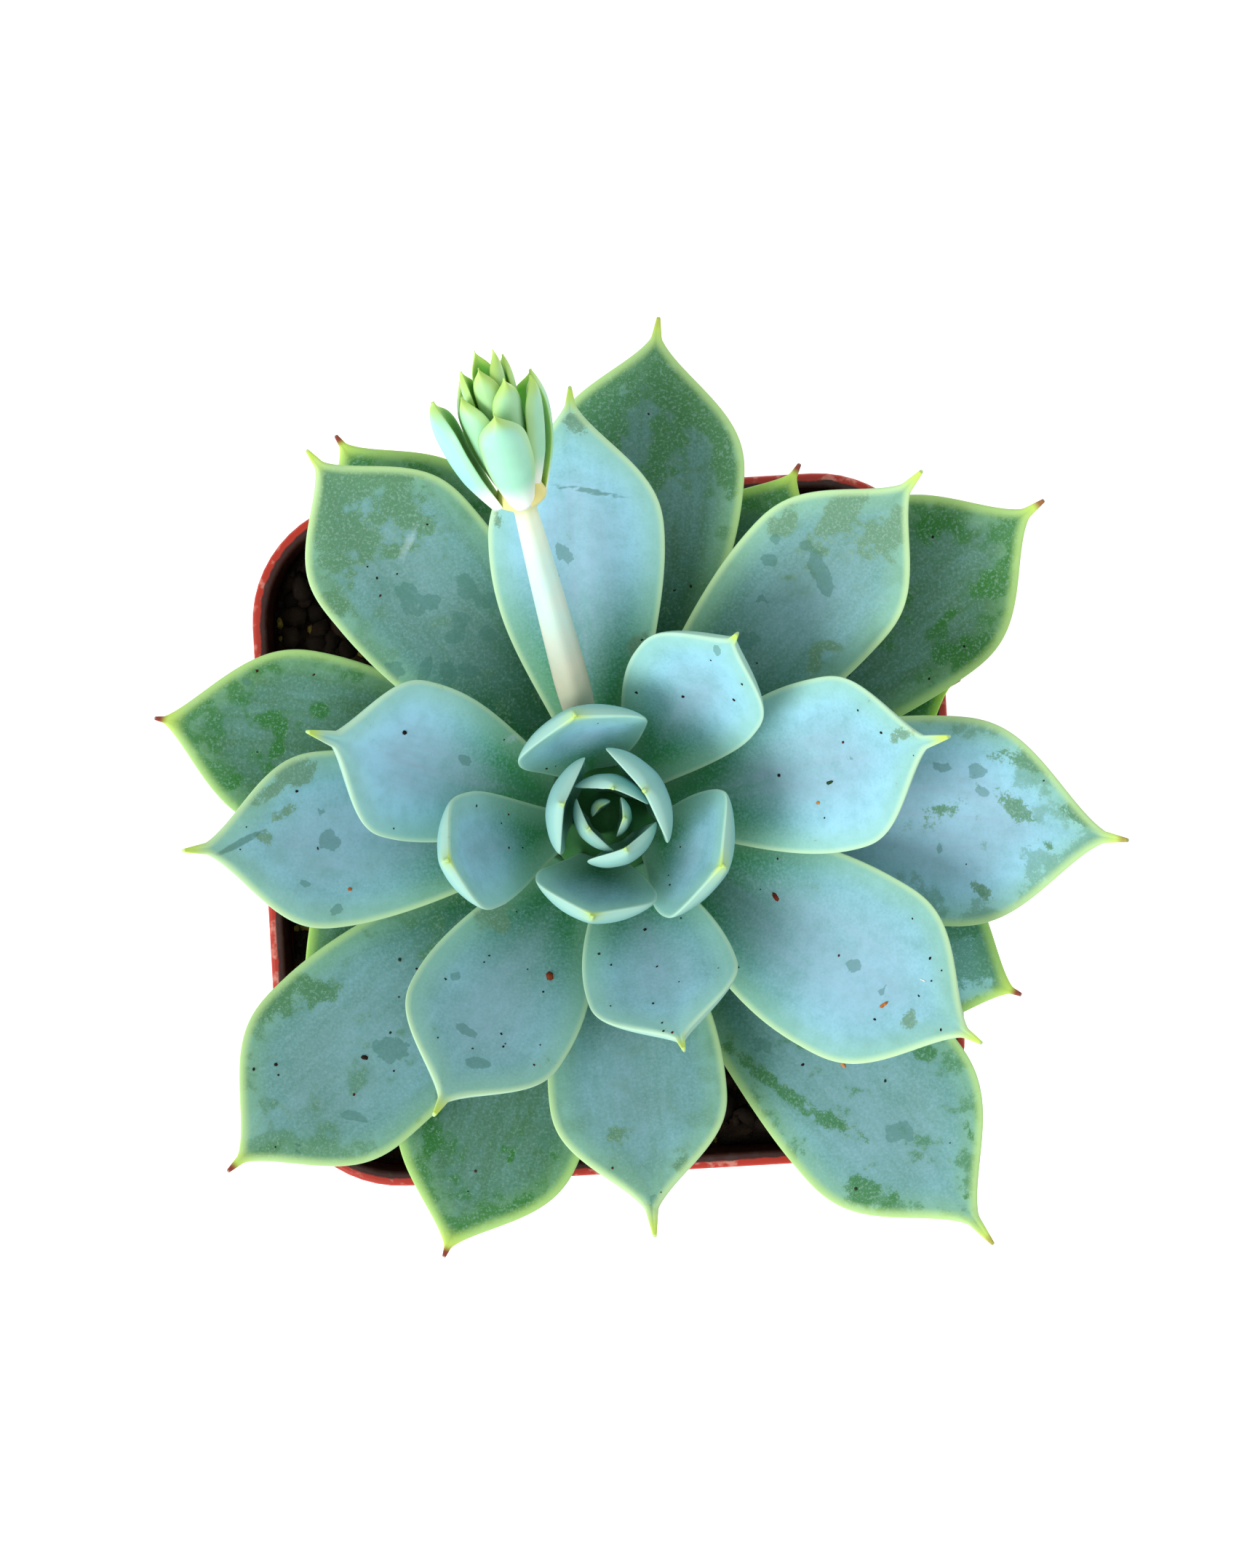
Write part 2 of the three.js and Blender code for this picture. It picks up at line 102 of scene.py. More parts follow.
# Leaves from the heart outwards: place in the spiral, turn off the spiral (deg),
# length, width, slope at the foot (deg), slope gained by the tip (deg), sideways
# bend, share of the length at the widest place, fullness of the shoulder past it,
# how drawn out the tip is, how blue and full the wax is, and how dried the tip is.
# The blue of the wax is partly painted light: leaves that catch more light are
# given bluer, paler wax.
LEAVES = (
    (0, 0, 5, 3, 78, 20, 0, 0.6, 1.8, 1.1, 0.1, 0),
    (1, 0, 7, 5, 78, 20, 0, 0.6, 1.8, 1.1, 0.1, 0),
    (2, 0, 10, 8, 76, 30, 0, 0.6, 1.8, 1.1, 0.12, 0),
    (3, -2, 12, 9.5, 76, 30, 0, 0.6, 1.8, 1.1, 0.45, 0),
    (4, -2, 13.5, 10, 74, 30, 0, 0.6, 1.8, 1.1, 0.5, 0),
    (5, 0, 15.5, 12.5, 74, 29, 0, 0.6, 1.8, 1.1, 0.6, 0),
    (6, 6, 17, 14, 76, 30, 0, 0.6, 1.8, 1.1, 0.6, 0),
    (7, 11, 16, 15.5, 51, 30, 0, 0.6, 1.8, 1.1, 0.55, 0),
    (8, -6, 16.5, 17, 50, 34, 0, 0.6, 1.8, 1.1, 1, 0),
    (9, 0, 19, 17.5, 45, 36, 0, 0.6, 1.8, 1.1, 0.75, 0),
    (10, -4, 26.5, 15, 33, 58, 0, 0.6, 1.8, 1, 0.95, 0),
    (11, -8, 30, 18, 32, 34, 0, 0.56, 1.8, 1.5, 1, 0),
    (12, 3, 31.5, 19.5, 29, 32, 0, 0.58, 1.7, 1.6, 0.7, 0),
    (13, 16, 39.5, 20.5, 26, 30, 0, 0.56, 1.6, 2.4, 1, 0),
    (14, 2, 43.5, 22, 23, 28, 0, 0.58, 1.6, 1.8, 0.95, 0),
    (15, 6, 41.5, 21.5, 21, 27, 0, 0.58, 1.7, 1.5, 0.58, 0),
    (16, -2, 52, 22, 19, 25, 1, 0.58, 1.3, 1, 0.95, 0),
    (17, 9, 52, 24.5, 17, 24, 0, 0.58, 1.6, 1.2, 0.77, 0),
    (18, 2, 49.5, 22.5, 15, 23, 0, 0.58, 1.4, 1.2, 0.74, 0),
    (19, 2, 54.5, 22, 14, 22, 0, 0.58, 1.6, 1.2, 0.32, 0),
    (20, 8, 48.5, 22.5, 13, 21, 0, 0.6, 1.4, 1.4, 0.4, 0),
    (21, -2, 54.5, 23, 12, 20, 0, 0.62, 1.7, 1.2, 0.3, 0),
    (22, 3, 60.5, 27, 11, 19, 1.5, 0.6, 1.4, 1.1, 0.95, 0.6),
    (23, 6, 60, 25.5, 10, 18, 0, 0.62, 1.7, 1.1, 0.36, 1),
    (24, 4, 57.5, 25.5, 10, 17, 0, 0.62, 1.6, 1.2, 0.2, 0.2),
    (25, 9, 67, 26, 9, 16, 1, 0.62, 1.7, 1.4, 0.43, 0.5),
    (26, 2, 52.5, 23.5, 9, 16, -1, 0.6, 1.5, 0.8, 0.07, 1),
    (27, 7, 62, 25, 8, 15, 0, 0.62, 1.7, 1.2, 0.05, 0.9),
    (28, -2, 53.5, 24.5, 8, 15, 0, 0.62, 1.6, 0.9, 0.1, 1),
    (29, 11, 53, 24, 8, 15, 0, 0.62, 1.7, 1, 0, 1),
    (30, -1, 51, 24, 8, 14, 0, 0.6, 1.6, 0.9, 0.9, 1),
    (31, 10, 40, 21, 8, 14, 0, 0.62, 1.6, 1, 0, 0.8),
    (32, -2, 44.5, 19, 8, 14, 0, 0.6, 1.6, 1, 0, 1),
    (35, 9, 42, 19, 9, 16, 0, 0.6, 1.6, 1, 0, 0.8),
)
LEAF_KEYS = ("step", "lean", "length", "width", "rise", "curl", "bow", "widest", "shoulder", "point",
             "tone", "dry")
LAST_STEP = LEAVES[-1][0]

# Marks in the wax by kind and leaf: share of the length, share of the half width
# (positive to the left of the tip), half length and half width in mm, and turn off
# the midrib (deg). A rub bares the flesh, a stain is a dried drop, a bloom is thicker
# wax and a streak is a narrow scratch.
MARKS = {
    "rub": {
        14: ((0.84, 0.37, 1.6, 0.8, 0),),
        15: ((0.28, -0.75, 2.1, 1.9, -45),),
        16: ((0.91, -0.45, 1.4, 1.2, 65), (0.29, -0.8, 1.9, 1.3, -25), (0.67, 0.9, 1.6, 0.8, 0)),
        17: ((0.8, -0.27, 1.0, 1.3, 15),),
        18: ((0.69, -0.85, 2.4, 1.4, -5), (0.74, -0.75, 2.2, 1.0, 25), (0.72, -0.37, 1.9, 0.6, 30),
             (0.77, -0.1, 0.9, 0.7, 0)),
        19: ((0.82, 0.63, 9.5, 1.9, 5), (0.83, -0.4, 4.6, 2.2, -10), (0.68, 0.77, 2.3, 1.3, -10),
             (0.48, -0.57, 1.9, 1.0, 15), (0.53, -0.63, 1.7, 0.8, -45)),
        20: ((0.71, -0.3, 1.3, 1.1, 65), (0.83, 0.9, 2.4, 1.0, 10), (0.92, -0.4, 1.3, 0.7, 65)),
        21: ((0.9, 0.1, 8.5, 5.5, 90), (0.86, 0.55, 7.5, 4.0, 20), (0.8, -0.6, 8.5, 3.6, -20),
             (0.75, 0.25, 5.0, 3.4, 60), (0.67, 0.85, 2.2, 1.3, 30)),
        22: ((0.59, 0.07, 2.2, 0.9, 10), (0.75, 0.2, 2.6, 1.3, -30), (0.83, -0.27, 0.9, 0.5, -30),
             (0.9, 0.8, 2.2, 1.5, 0), (0.8, 0.95, 5.0, 1.2, -5), (0.69, -0.67, 1.7, 0.7, -25)),
        23: ((0.66, -0.9, 4.0, 2.2, -5), (0.59, -0.7, 2.6, 1.6, -40), (0.92, 0.5, 2.8, 0.8, -15)),
        24: ((0.69, -0.13, 6.5, 1.5, 5), (0.82, 0.33, 1.9, 0.7, 20), (0.73, -0.37, 1.1, 0.7, 90),
             (0.88, -0.07, 5.2, 1.0, -30), (0.8, -0.6, 4.7, 1.5, 40), (0.7, -0.8, 4.7, 1.7, 10),
             (0.72, 0.3, 2.8, 0.9, 0), (0.79, 0.6, 9.0, 3.4, -12), (0.62, 0.75, 6.0, 2.4, 8),
             (0.85, -0.3, 5.0, 2.6, 20)),
        25: ((0.48, -0.67, 8.4, 0.9, 10), (0.62, -0.43, 4.7, 0.7, 20), (0.76, -0.73, 3.0, 1.9, -40),
             (0.81, -0.73, 1.9, 0.7, -75), (0.81, 0.73, 1.9, 0.6, -15), (0.9, 0.43, 0.7, 0.6, 75),
             (0.64, 0.67, 2.1, 0.8, 45)),
        26: ((0.73, -0.17, 2.8, 1.2, 10), (0.61, -0.4, 1.3, 1.1, 10), (0.78, 0.67, 1.3, 1.1, 30),
             (0.69, 0.03, 2.4, 1.0, -90), (0.9, -0.7, 1.9, 1.1, 15)),
        27: ((0.78, 0.53, 2.1, 1.9, 70), (0.81, -0.5, 3.0, 1.7, -45), (0.7, -0.4, 2.3, 0.7, 20),
             (0.69, -0.8, 4.0, 2.0, -20), (0.88, -0.67, 2.8, 0.9, 10), (0.82, 0.5, 2.8, 0.7, 90)),
        28: ((0.74, -0.57, 3.4, 1.5, 0), (0.83, 0.85, 2.4, 1.7, 0), (0.72, 0.3, 1.7, 0.7, 15),
             (0.94, 0.7, 2.3, 1.1, -30)),
        29: ((0.7, -0.6, 3.5, 1.4, 10), (0.85, 0.2, 2.5, 1.2, -20)),
        30: ((0.8, 0.5, 2.6, 1.2, 20), (0.65, 0.0, 2.0, 1.0, -40)),
    },
    "stain": {
        11: ((0.84, 0.2, 1.0, 0.5, 20),),
        13: ((0.35, -0.2, 1.2, 0.7, 0),),
        14: ((0.62, 0.05, 1.1, 0.5, -15),),
        15: ((0.68, -0.2, 1.5, 0.7, -85), (0.76, 0.2, 1.6, 0.8, -60), (0.54, -0.6, 0.7, 0.6, 0)),
        16: ((0.54, 0.15, 1.7, 0.8, 25), (0.48, 0.33, 1.3, 0.7, 80)),
        17: ((0.6, 0.0, 1.1, 1.0, 30), (0.7, -0.07, 0.8, 0.5, 70)),
        18: ((0.59, 0.03, 1.5, 1.3, 0), (0.61, -0.27, 0.7, 0.5, 0), (0.59, 0.8, 0.9, 0.7, 0),
             (0.67, 0.5, 0.6, 0.5, 0)),
        19: ((0.64, 0.07, 3.0, 1.2, 60), (0.67, 0.43, 1.1, 0.7, -15), (0.58, 0.6, 1.0, 0.8, -50),
             (0.63, 0.7, 0.7, 0.6, 0), (0.49, 0.37, 0.8, 0.7, 0), (0.4, 0.2, 1.3, 1.3, 0)),
        20: ((0.9, 0.3, 0.7, 0.5, 0),),
        21: ((0.56, 0.17, 2.3, 1.4, -20), (0.52, 0.02, 1.3, 1.0, 30), (0.44, -0.13, 1.3, 1.1, 50),
             (0.42, 0.05, 1.1, 0.9, 50), (0.4, 0.63, 2.2, 0.8, -55), (0.45, 0.85, 1.3, 1.3, 0),
             (0.49, -0.42, 1.8, 1.3, 10), (0.44, -0.5, 1.5, 1.2, 60), (0.37, -0.3, 1.3, 1.0, 0),
             (0.33, 0.2, 1.5, 0.9, 30), (0.36, 0.45, 1.6, 1.0, -30)),
        22: ((0.68, 0.3, 0.9, 0.8, 0), (0.59, 0.5, 1.3, 0.7, 5), (0.59, -0.27, 0.8, 0.7, 0),
             (0.67, 0.5, 1.3, 0.9, 10)),
        23: ((0.56, 0.23, 2.1, 1.7, -45), (0.72, 0.5, 2.1, 0.6, -55)),
        25: ((0.42, -0.5, 1.7, 0.9, 30), (0.72, 0.0, 1.7, 1.3, 50)),
        26: ((0.8, -0.7, 1.3, 0.7, -20),),
    },
    "bloom": {
        13: ((0.2, -0.9, 1.9, 0.8, 35),),
        21: ((0.67, -0.22, 3.4, 0.9, -60),),
    },
    "streak": {
        16: ((0.71, -0.2, 5.1, 0.45, 75),),
        18: ((0.85, -0.05, 4.7, 0.5, 20),),
        23: ((0.86, 0.6, 1.5, 0.3, 40),),
    },
}

# Bits lying on the leaves: leaf, share of the length, share of the half width, half
# length and half width in mm, turn (deg) and colour.
BITS = (
    (15, 0.37, 0.45, 0.75, 0.5, 30, "#7E3A1E"), (17, 0.33, 0.25, 0.8, 0.35, -30, "#7B2F1C"),
    (17, 0.72, -0.2, 0.9, 0.3, 60, "#C9793A"), (14, 0.5, -0.45, 0.35, 0.25, 0, "#C8802E"),
    (14, 0.55, -0.2, 0.75, 0.3, 10, "#2F4A2A"), (14, 0.38, 0.0, 0.3, 0.25, 0, "#1D1B16"),
    (23, 0.62, 0.1, 0.6, 0.4, -40, "#2A1C14"), (23, 0.5, 0.6, 1.1, 0.25, 40, "#B0602E"),
    (3, 0.6, 0.3, 0.9, 0.7, 20, "#F4F6F2"), (28, 0.55, -0.1, 0.7, 0.5, 10, "#B4683C"),
    (28, 0.5, 0.15, 0.5, 0.35, 50, "#9A5230"), (25, 0.55, 0.0, 0.6, 0.3, -10, "#D08A4E"),
    (13, 0.62, -0.35, 0.45, 0.35, 0, "#1E1B17"), (20, 0.35, -0.3, 0.4, 0.3, 0, "#201A15"),
    (17, 0.78, 0.35, 0.6, 0.12, 20, "#F2F5F0"), (18, 0.55, 0.6, 0.35, 0.25, 0, "#B5642E"),
)


def linear(hex_colour):
    """sRGB hex to linear: the low end is divided by 12.92, the rest follows the 2.4 power."""
    parts = [int(hex_colour[i:i + 2], 16) / 255 for i in (1, 3, 5)]
    return tuple(c / 12.92 if c <= 0.04045 else ((c + 0.055) / 1.055) ** 2.4 for c in parts)


def colour_property(name, hex_colour, description):
    return FloatVectorProperty(name=name, description=description, default=linear(hex_colour),
                               subtype="COLOR", size=3, min=0, max=1)


def size_property(name, default, description):
    """A length in millimetres."""
    return FloatProperty(name=name, description=description, default=default, min=0)


class PotSettings(bpy.types.PropertyGroup):
    """Sizes and colour of the nursery pot."""
    height: size_property("Height", float(POT_HIGH[2]), "Height of the pot, mm")
    rim_width: size_property("Rim width", float(POT_HIGH[0] - POT_LOW[0]), "Width over the rim, mm")
    rim_corner: size_property("Rim corner", 16.0, "Corner radius at the rim, mm")
    base_width: size_property("Base width", 64.0, "Width of the underside, mm")
    base_corner: size_property("Base corner", 11.0, "Corner radius of the underside, mm")
    wall: size_property("Wall", 1.3, "Wall thickness, mm")
    floor: size_property("Floor", 1.8, "Floor thickness, mm")
    band_height: size_property("Band height", 7.0, "Height of the stepped rim band, mm")
    band_step: size_property("Band step", 1.8, "How far the rim band stands out, mm")
    rim: size_property("Rim thickness", 2.0, "Thickness of the rim's lip, mm")
    edge: size_property("Edge rounding", 0.6, "Rounding of lip and foot, mm")
    colour: colour_property("Plastic", "#AE2812", "Colour of the moulded plastic")


class SoilSettings(bpy.types.PropertyGroup):
    """The potting mix."""
    drop: size_property("Drop", 5.5, "Soil level below the rim at the wall, mm")
    dish: size_property("Dish", 4.8, "Depth of the hollow round the plant, mm")
    lump: size_property("Lumps", 0.45, "Height of the rolling lumps, mm")
    gap: size_property("Gap", 0.3, "Room between soil and pot, mm")
    crumbs: IntProperty(name="Crumbs", description="Loose crumbs on the soil", default=4500, min=0)
    colour: colour_property("Mix", "#1C140F", "Colour of the damp potting mix")


class PlantSettings(bpy.types.PropertyGroup):
    """The rosette's spiral and the colours of its leaves."""
    axis_y: size_property("Axis", 2.0, "Place of the plant's axis along Y, mm")
    turn: FloatProperty(name="Turn", description="Turn from leaf to leaf, degrees", default=137.1)
    first: FloatProperty(name="First leaf", description="Direction of the first leaf, degrees",
                         default=127.3)
    step: size_property("Step", 0.68, "Drop from leaf to leaf, mm")
    top: size_property("Top", 98.0, "Height of the first leaf's foot, mm")
    crown: size_property("Crown", 8.4, "Radius that the leaves' feet tend to, mm")
    taper: size_property("Taper", 7.2, "How much less the radius is at the heart, mm")
    spread: FloatProperty(name="Spread", description="Leaves over which the crown widens", default=7.0)
    thickness: size_property("Thickness", 2.8, "Thickness of a full leaf, mm")
    grit: IntProperty(name="Grit", description="Specks of grit on the leaves", default=150, min=0)
    wax: colour_property("Wax", "#9FD8F0", "Full blue-white wax of a young leaf")
    old_wax: colour_property("Old wax", "#4A7852", "Thin wax of an old leaf")
    # the flesh shows mostly at a leaf's foot, where its dark green is partly painted shade deep in the
    # rosette
    flesh: colour_property("Flesh", "#2A8546", "Flesh of a young leaf")
    old_flesh: colour_property("Old flesh", "#12502A", "Flesh of an old leaf")
    # pale margins: partly the leaves' own colour, partly painted glow of light through the thin edge; the
    # young margin is mostly a painted highlight on the rounded edge
    margin: colour_property("Margin", "#A3CF4E", "Thin edge of an old leaf")
    young_margin_highlight: colour_property("Young margin", "#D6F0DC", "Thin edge of a young leaf")
    tip: colour_property("Tip", "#C4E05A", "Point of a leaf")
    old_tip: colour_property("Old tip", "#8E4433", "Dried point of an old leaf")


class StalkSettings(bpy.types.PropertyGroup):
    """The flower stalk and its head of bracts."""
    angle: FloatProperty(name="Angle", description="Direction of the stalk, degrees", default=101.5)
    step: FloatProperty(name="Place", description="Place in the spiral that it leaves from", default=12.6)
    reach: size_property("Reach", 38.4, "Distance of the stalk's end from the axis, mm")
    above_heart: size_property("Above heart", 23.0, "Height of the stalk's end above the heart, mm")
    root_radius: size_property("Foot radius", 1.1, "Radius at the foot, mm")
    radius: size_property("Radius", 2.3, "Radius above the foot, mm")
    neck_radius: size_property("Neck radius", 1.4, "Radius under the head, mm")
    bracts: IntProperty(name="Bracts", description="Number of bracts", default=13, min=2)
    pitch: size_property("Pitch", 0.8, "Distance along the head from bract to bract, mm")
    elevation: FloatProperty(name="Elevation", description="Slope of the head, degrees", default=30.0)
    lean: FloatProperty(name="Lean", description="Turn of the head off the stalk, degrees", default=1.0)
    opens: FloatProperty(name="First opens", description="Extra opening of the lowest bract, degrees",
                         default=-3.0)
    middle_colour: colour_property("Stalk middle", "#C4E6DA", "Waxy middle of the stalk")
    low_colour: colour_property("Stalk foot", "#B4B69C", "Pale foot of the stalk")
    high_colour: colour_property("Stalk end", "#DDEED4", "Stalk under the head")
    bract_back: colour_property("Bract back", "#98DED2", "Waxy back of a bract")
    bract_face: colour_property("Bract face", "#6AB436", "Green face of a bract")
    bract_foot: colour_property("Bract foot", "#F4FAF0", "Whitish foot of a bract")
    bract_tip: colour_property("Bract tip", "#B2D868", "Lime edge and point of a bract")


class StageSettings(bpy.types.PropertyGroup):
    """Floor, light and camera."""
    camera_height: FloatProperty(name="Camera height", description="Height of the camera", default=0.63,
                                 unit="LENGTH")
    lens: FloatProperty(name="Lens", description="Focal length, mm", default=96.8)
    roll: FloatProperty(name="Roll", description="Roll of the camera, degrees", default=-3.2)
    dome: FloatProperty(name="Dome", description="Strength of the even light", default=0.8)
    key: FloatProperty(name="Key", description="Power of the soft key light, W", default=6.0)


def ease(x):
    """Smooth step: three x squared less two x cubed, held between 0 and 1."""
    x = np.clip(x, 0, 1)
    return x * x * (3 - 2 * x)


def unit(vector):
    return vector / np.linalg.norm(vector)


def mix(a, b, share):
    return a + (b - a) * share


def make_mesh(name, vertices, faces, attributes=None, material=None):
    """Puts a surface in millimetres into a new object in metres, shaded smooth."""
    mesh = bpy.data.meshes.new(name)
    mesh.from_pydata((np.asarray(vertices) * MM).tolist(), [], faces)
    for key, values in (attributes or {}).items():
        values = np.asarray(values, np.float32)
        tint = values.ndim == 2
        layer = mesh.attributes.new(key, "FLOAT_COLOR" if tint else "FLOAT", "POINT")
        layer.data.foreach_set("color" if tint else "value", values.ravel())
    mesh.shade_smooth()
    mesh.update()
    piece = bpy.data.objects.new(name, mesh)
    bpy.context.scene.collection.objects.link(piece)
    if material:
        mesh.materials.append(material)
    return piece


def tube_faces(rows, columns, offset=0):
    """Quads between neighbouring rings, and a fan to a pole at each end."""
    i, j = np.meshgrid(np.arange(rows - 1), np.arange(columns), indexing="ij")
    k = (j + 1) % columns
    quads = np.stack([i * columns + j, i * columns + k, (i + 1) * columns + k, (i + 1) * columns + j], -1)
    j = np.arange(columns)
    k = (j + 1) % columns
    last = (rows - 1) * columns
    low = np.stack([np.full(columns, rows * columns), k, j], -1)
    high = np.stack([np.full(columns, rows * columns + 1), last + j, last + k], -1)
    faces = (quads.reshape(-1, 4) + offset).tolist()
    return faces + (low + offset).tolist() + (high + offset).tolist()


def close_rings(rings):
    """Ring points followed by the two poles, each the middle of its end ring."""
    return np.vstack([rings.reshape(-1, 3), rings[0].mean(0), rings[-1].mean(0)])


def close_values(values):
    return np.concatenate([values.ravel(), [values[0].mean(), values[-1].mean()]])


def square_ring(half, corner, z, count):
    """Points evenly spaced in angle round each corner arc of a rounded square."""
    side = np.repeat(np.arange(4), count)
    turn = np.tile(np.linspace(-45, 45, count), 4)
    middle = np.radians(45 + 90 * side)
    angle = middle + np.radians(turn)
    reach = math.sqrt(2) * (half - corner)
    x = reach * np.cos(middle) + corner * np.cos(angle)
    y = reach * np.sin(middle) + corner * np.sin(angle)
    return np.stack([x, y, np.full_like(x, z)], -1)


def lattice_noise(x, y, size, seed):
    """Smooth noise from -1 to 1: random values on a square lattice of the given size,
    blended between its corners by a smooth step."""
    grid = np.random.default_rng(seed).uniform(-1, 1, (64, 64))
    i, j = np.floor(x / size).astype(int), np.floor(y / size).astype(int)
    u, w = ease(x / size - i), ease(y / size - j)
    low = mix(grid[i % 64, j % 64], grid[(i + 1) % 64, j % 64], u)
    high = mix(grid[i % 64, (j + 1) % 64], grid[(i + 1) % 64, (j + 1) % 64], u)
    return mix(low, high, w)


def turned_tube(spine, radii, across, over, columns):
    """Rings carried along a path: each point is the path plus a radius times the
    cosine of an angle across and its sine over."""
    angle = 2 * np.pi * np.arange(columns) / columns
    spread = np.cos(angle)[None, :, None] * across[:, None] + np.sin(angle)[None, :, None] * over[:, None]
    return spine[:, None] + np.asarray(radii)[..., None] * spread


def upright_tube(spine, radii, columns):
    """Level rings carried along a path."""
    across, over = (np.tile(axis, (len(spine), 1)) for axis in np.eye(3)[:2])
    return turned_tube(spine, radii, across, over, columns)


def blade_share(t, blade):
    """Share of the full half width along a blade: a sine swell from the foot to the
    widest place, then a raised cosine whose power draws out the point."""
    widest, foot = blade["widest"], blade.get("foot", 0.36)
    swell = foot + (1 - foot) * np.sin(np.pi / 2 * np.clip(t / widest, 0, 1)) ** 1.1
    past = np.clip((t - widest) / (1 - widest), 0, 1) ** blade["shoulder"]
    return np.where(t < widest, swell, ((1 + np.cos(np.pi * past)) / 2) ** blade["point"])


def blade_surface(foot, outward, upward, blade, rows, columns, seed):
    """A fleshy blade. The midrib starts at the foot along the outward direction at
    the slope rise, and the slope grows by curl times the 1.3 power of the distance.
    Across it the blade is a lens, thicker below, cupped by the square of the
    distance from the midrib, with a faint channel, waves and a turned point."""
    rng = np.random.default_rng(seed)
    side = np.cross(upward, outward)
    t = 1 - (1 - np.linspace(0, 1, rows)) ** ROW_POWER
    fine = np.linspace(0, 1, MIDRIB_STEPS + 1)
    slope = np.radians(blade["rise"] + blade["curl"] * fine ** 1.3)
    pace = blade["length"] / MIDRIB_STEPS
    along, climb = (np.concatenate([[0], np.cumsum((part[1:] + part[:-1]) / 2)]) * pace
                    for part in (np.cos(slope), np.sin(slope)))
    slope_t = np.interp(t, fine, slope)[:, None]
    spine = foot + np.interp(t, fine, along)[:, None] * outward + np.interp(t, fine, climb)[:, None] * upward
    spine = spine + (blade["bow"] * np.sin(np.pi * t))[:, None] * side
    normal = -np.sin(slope_t) * outward + np.cos(slope_t) * upward
    share = blade_share(t, blade)
    point = np.minimum(0.25 + 0.16 * (1 - t) * blade["length"], 1.1) * min(1, blade["width"] / POINTED_WIDTH)
    half = np.maximum(blade["width"] / 2 * share, point)
    plump = blade["thickness"] * np.minimum(1, 0.7 + t) * np.maximum(0.25, share ** 0.35)
    angle = 2 * np.pi * np.arange(columns) / columns
    v = np.cos(angle)[None, :]
    up_side = np.sin(angle)[None, :] > 0
    lens = np.sign(np.sin(angle)) * np.where(up_side, 0.35, 0.65) * (1 - np.abs(v) ** 2.6 + 1e-9) ** 0.6
    size = blade["width"] / WAVY_WIDTH
    body = np.sin(np.pi * t)[:, None]
    phase = rng.uniform(0, 2 * np.pi, 6)
    wave = 0.32 * np.sin(5.2 * t[:, None] + phase[0]) * v ** 2 * np.sign(v) \
        + 0.22 * np.sin(9.5 * t[:, None] + phase[1]) * v ** 2 \
        + 0.10 * np.sin(15 * t[:, None] + phase[2] + 2 * v) * np.abs(v) ** 3 \
        + 0.05 * np.sin(11 * v + phase[3] + 2.5 * t[:, None])
    channel = -0.22 * np.exp(-(v / 0.32) ** 2)
    lift = blade["cup"] * half[:, None] * v ** 2 + plump[:, None] * lens + size * body * (wave + channel)
    wide = half[:, None] * v * (1 + size * 0.02 * np.sin(7 * t[:, None] + phase[4] + np.sign(v)) * body)
    rings = spine[:, None, :] + wide[..., None] * side + lift[..., None] * normal[:, None, :]
    outline = np.linspace(0, 1, OUTLINE_STEPS)
    out_half = np.maximum(blade["width"] / 2 * blade_share(outline, blade), np.interp(outline, t, point))
    flat = np.stack([np.repeat(t * blade["length"], columns), np.abs(half[:, None] * v).ravel()], -1)
    rim = np.stack([outline * blade["length"], out_half], -1)
    edge = np.sqrt(((flat[:, None, :] - rim[None]) ** 2).sum(-1)).min(1).reshape(rows, columns)
    values = {
        "edge_mm": edge,
        "along": np.repeat(t[:, None], columns, 1),
        "tip_mm": np.repeat((1 - t[:, None]) * blade["length"], columns, 1),
        "side_mm": half[:, None] * v,
        "under": np.repeat(np.where(up_side, 0.0, 1.0), rows, 0),
    }
    return rings, values, t, half[:, None] * v


def mark_fields(blade, t, wide):
    """A field over a blade for each kind of mark. A mark is one at its middle, nought at
    the edge of its ellipse and less outside, and the highest mark at a place counts."""
    fields = {}
    for kind, leaves in MARKS.items():
        fields[kind] = np.full(wide.shape, -1.0)
        for along, across, half_length, half_width, turn in leaves.get(blade["step"], ()):
            reach = blade["width"] / 2 * blade_share(np.array(along), blade)
            dx = t[:, None] * blade["length"] - along * blade["length"]
            dy = wide - across * reach
            cos, sin = math.cos(math.radians(turn)), math.sin(math.radians(turn))
            away = np.hypot((dx * cos + dy * sin) / half_length, (dy * cos - dx * sin) / half_width)
            fields[kind] = np.maximum(fields[kind], 1 - away)
    return fields


def foot_radius(plant, step):
    """Distance of a leaf's foot from the axis: the crown's radius less a share that
    falls away over the spiral."""
    return plant.crown - plant.taper * math.exp(-((step / plant.spread) ** 1.3))


def leaf_facts(row, plant):
    """Foot, outward direction and blade of one leaf of the spiral."""
    leaf = dict(zip(LEAF_KEYS, row))
    step = leaf["step"]
    angle = math.radians(plant.first - plant.turn * step + leaf["lean"])
    outward = np.array([math.cos(angle), math.sin(angle), 0])
    foot = np.array([0, plant.axis_y, plant.top - plant.step * step]) + foot_radius(plant, step) * outward
    leaf["thickness"] = plant.thickness * (1 - 0.6 * math.exp(-((step / 5) ** 2)))
    leaf["cup"] = 0.1 + 0.22 * math.exp(-((step / 12) ** 2))
    return leaf, foot, outward


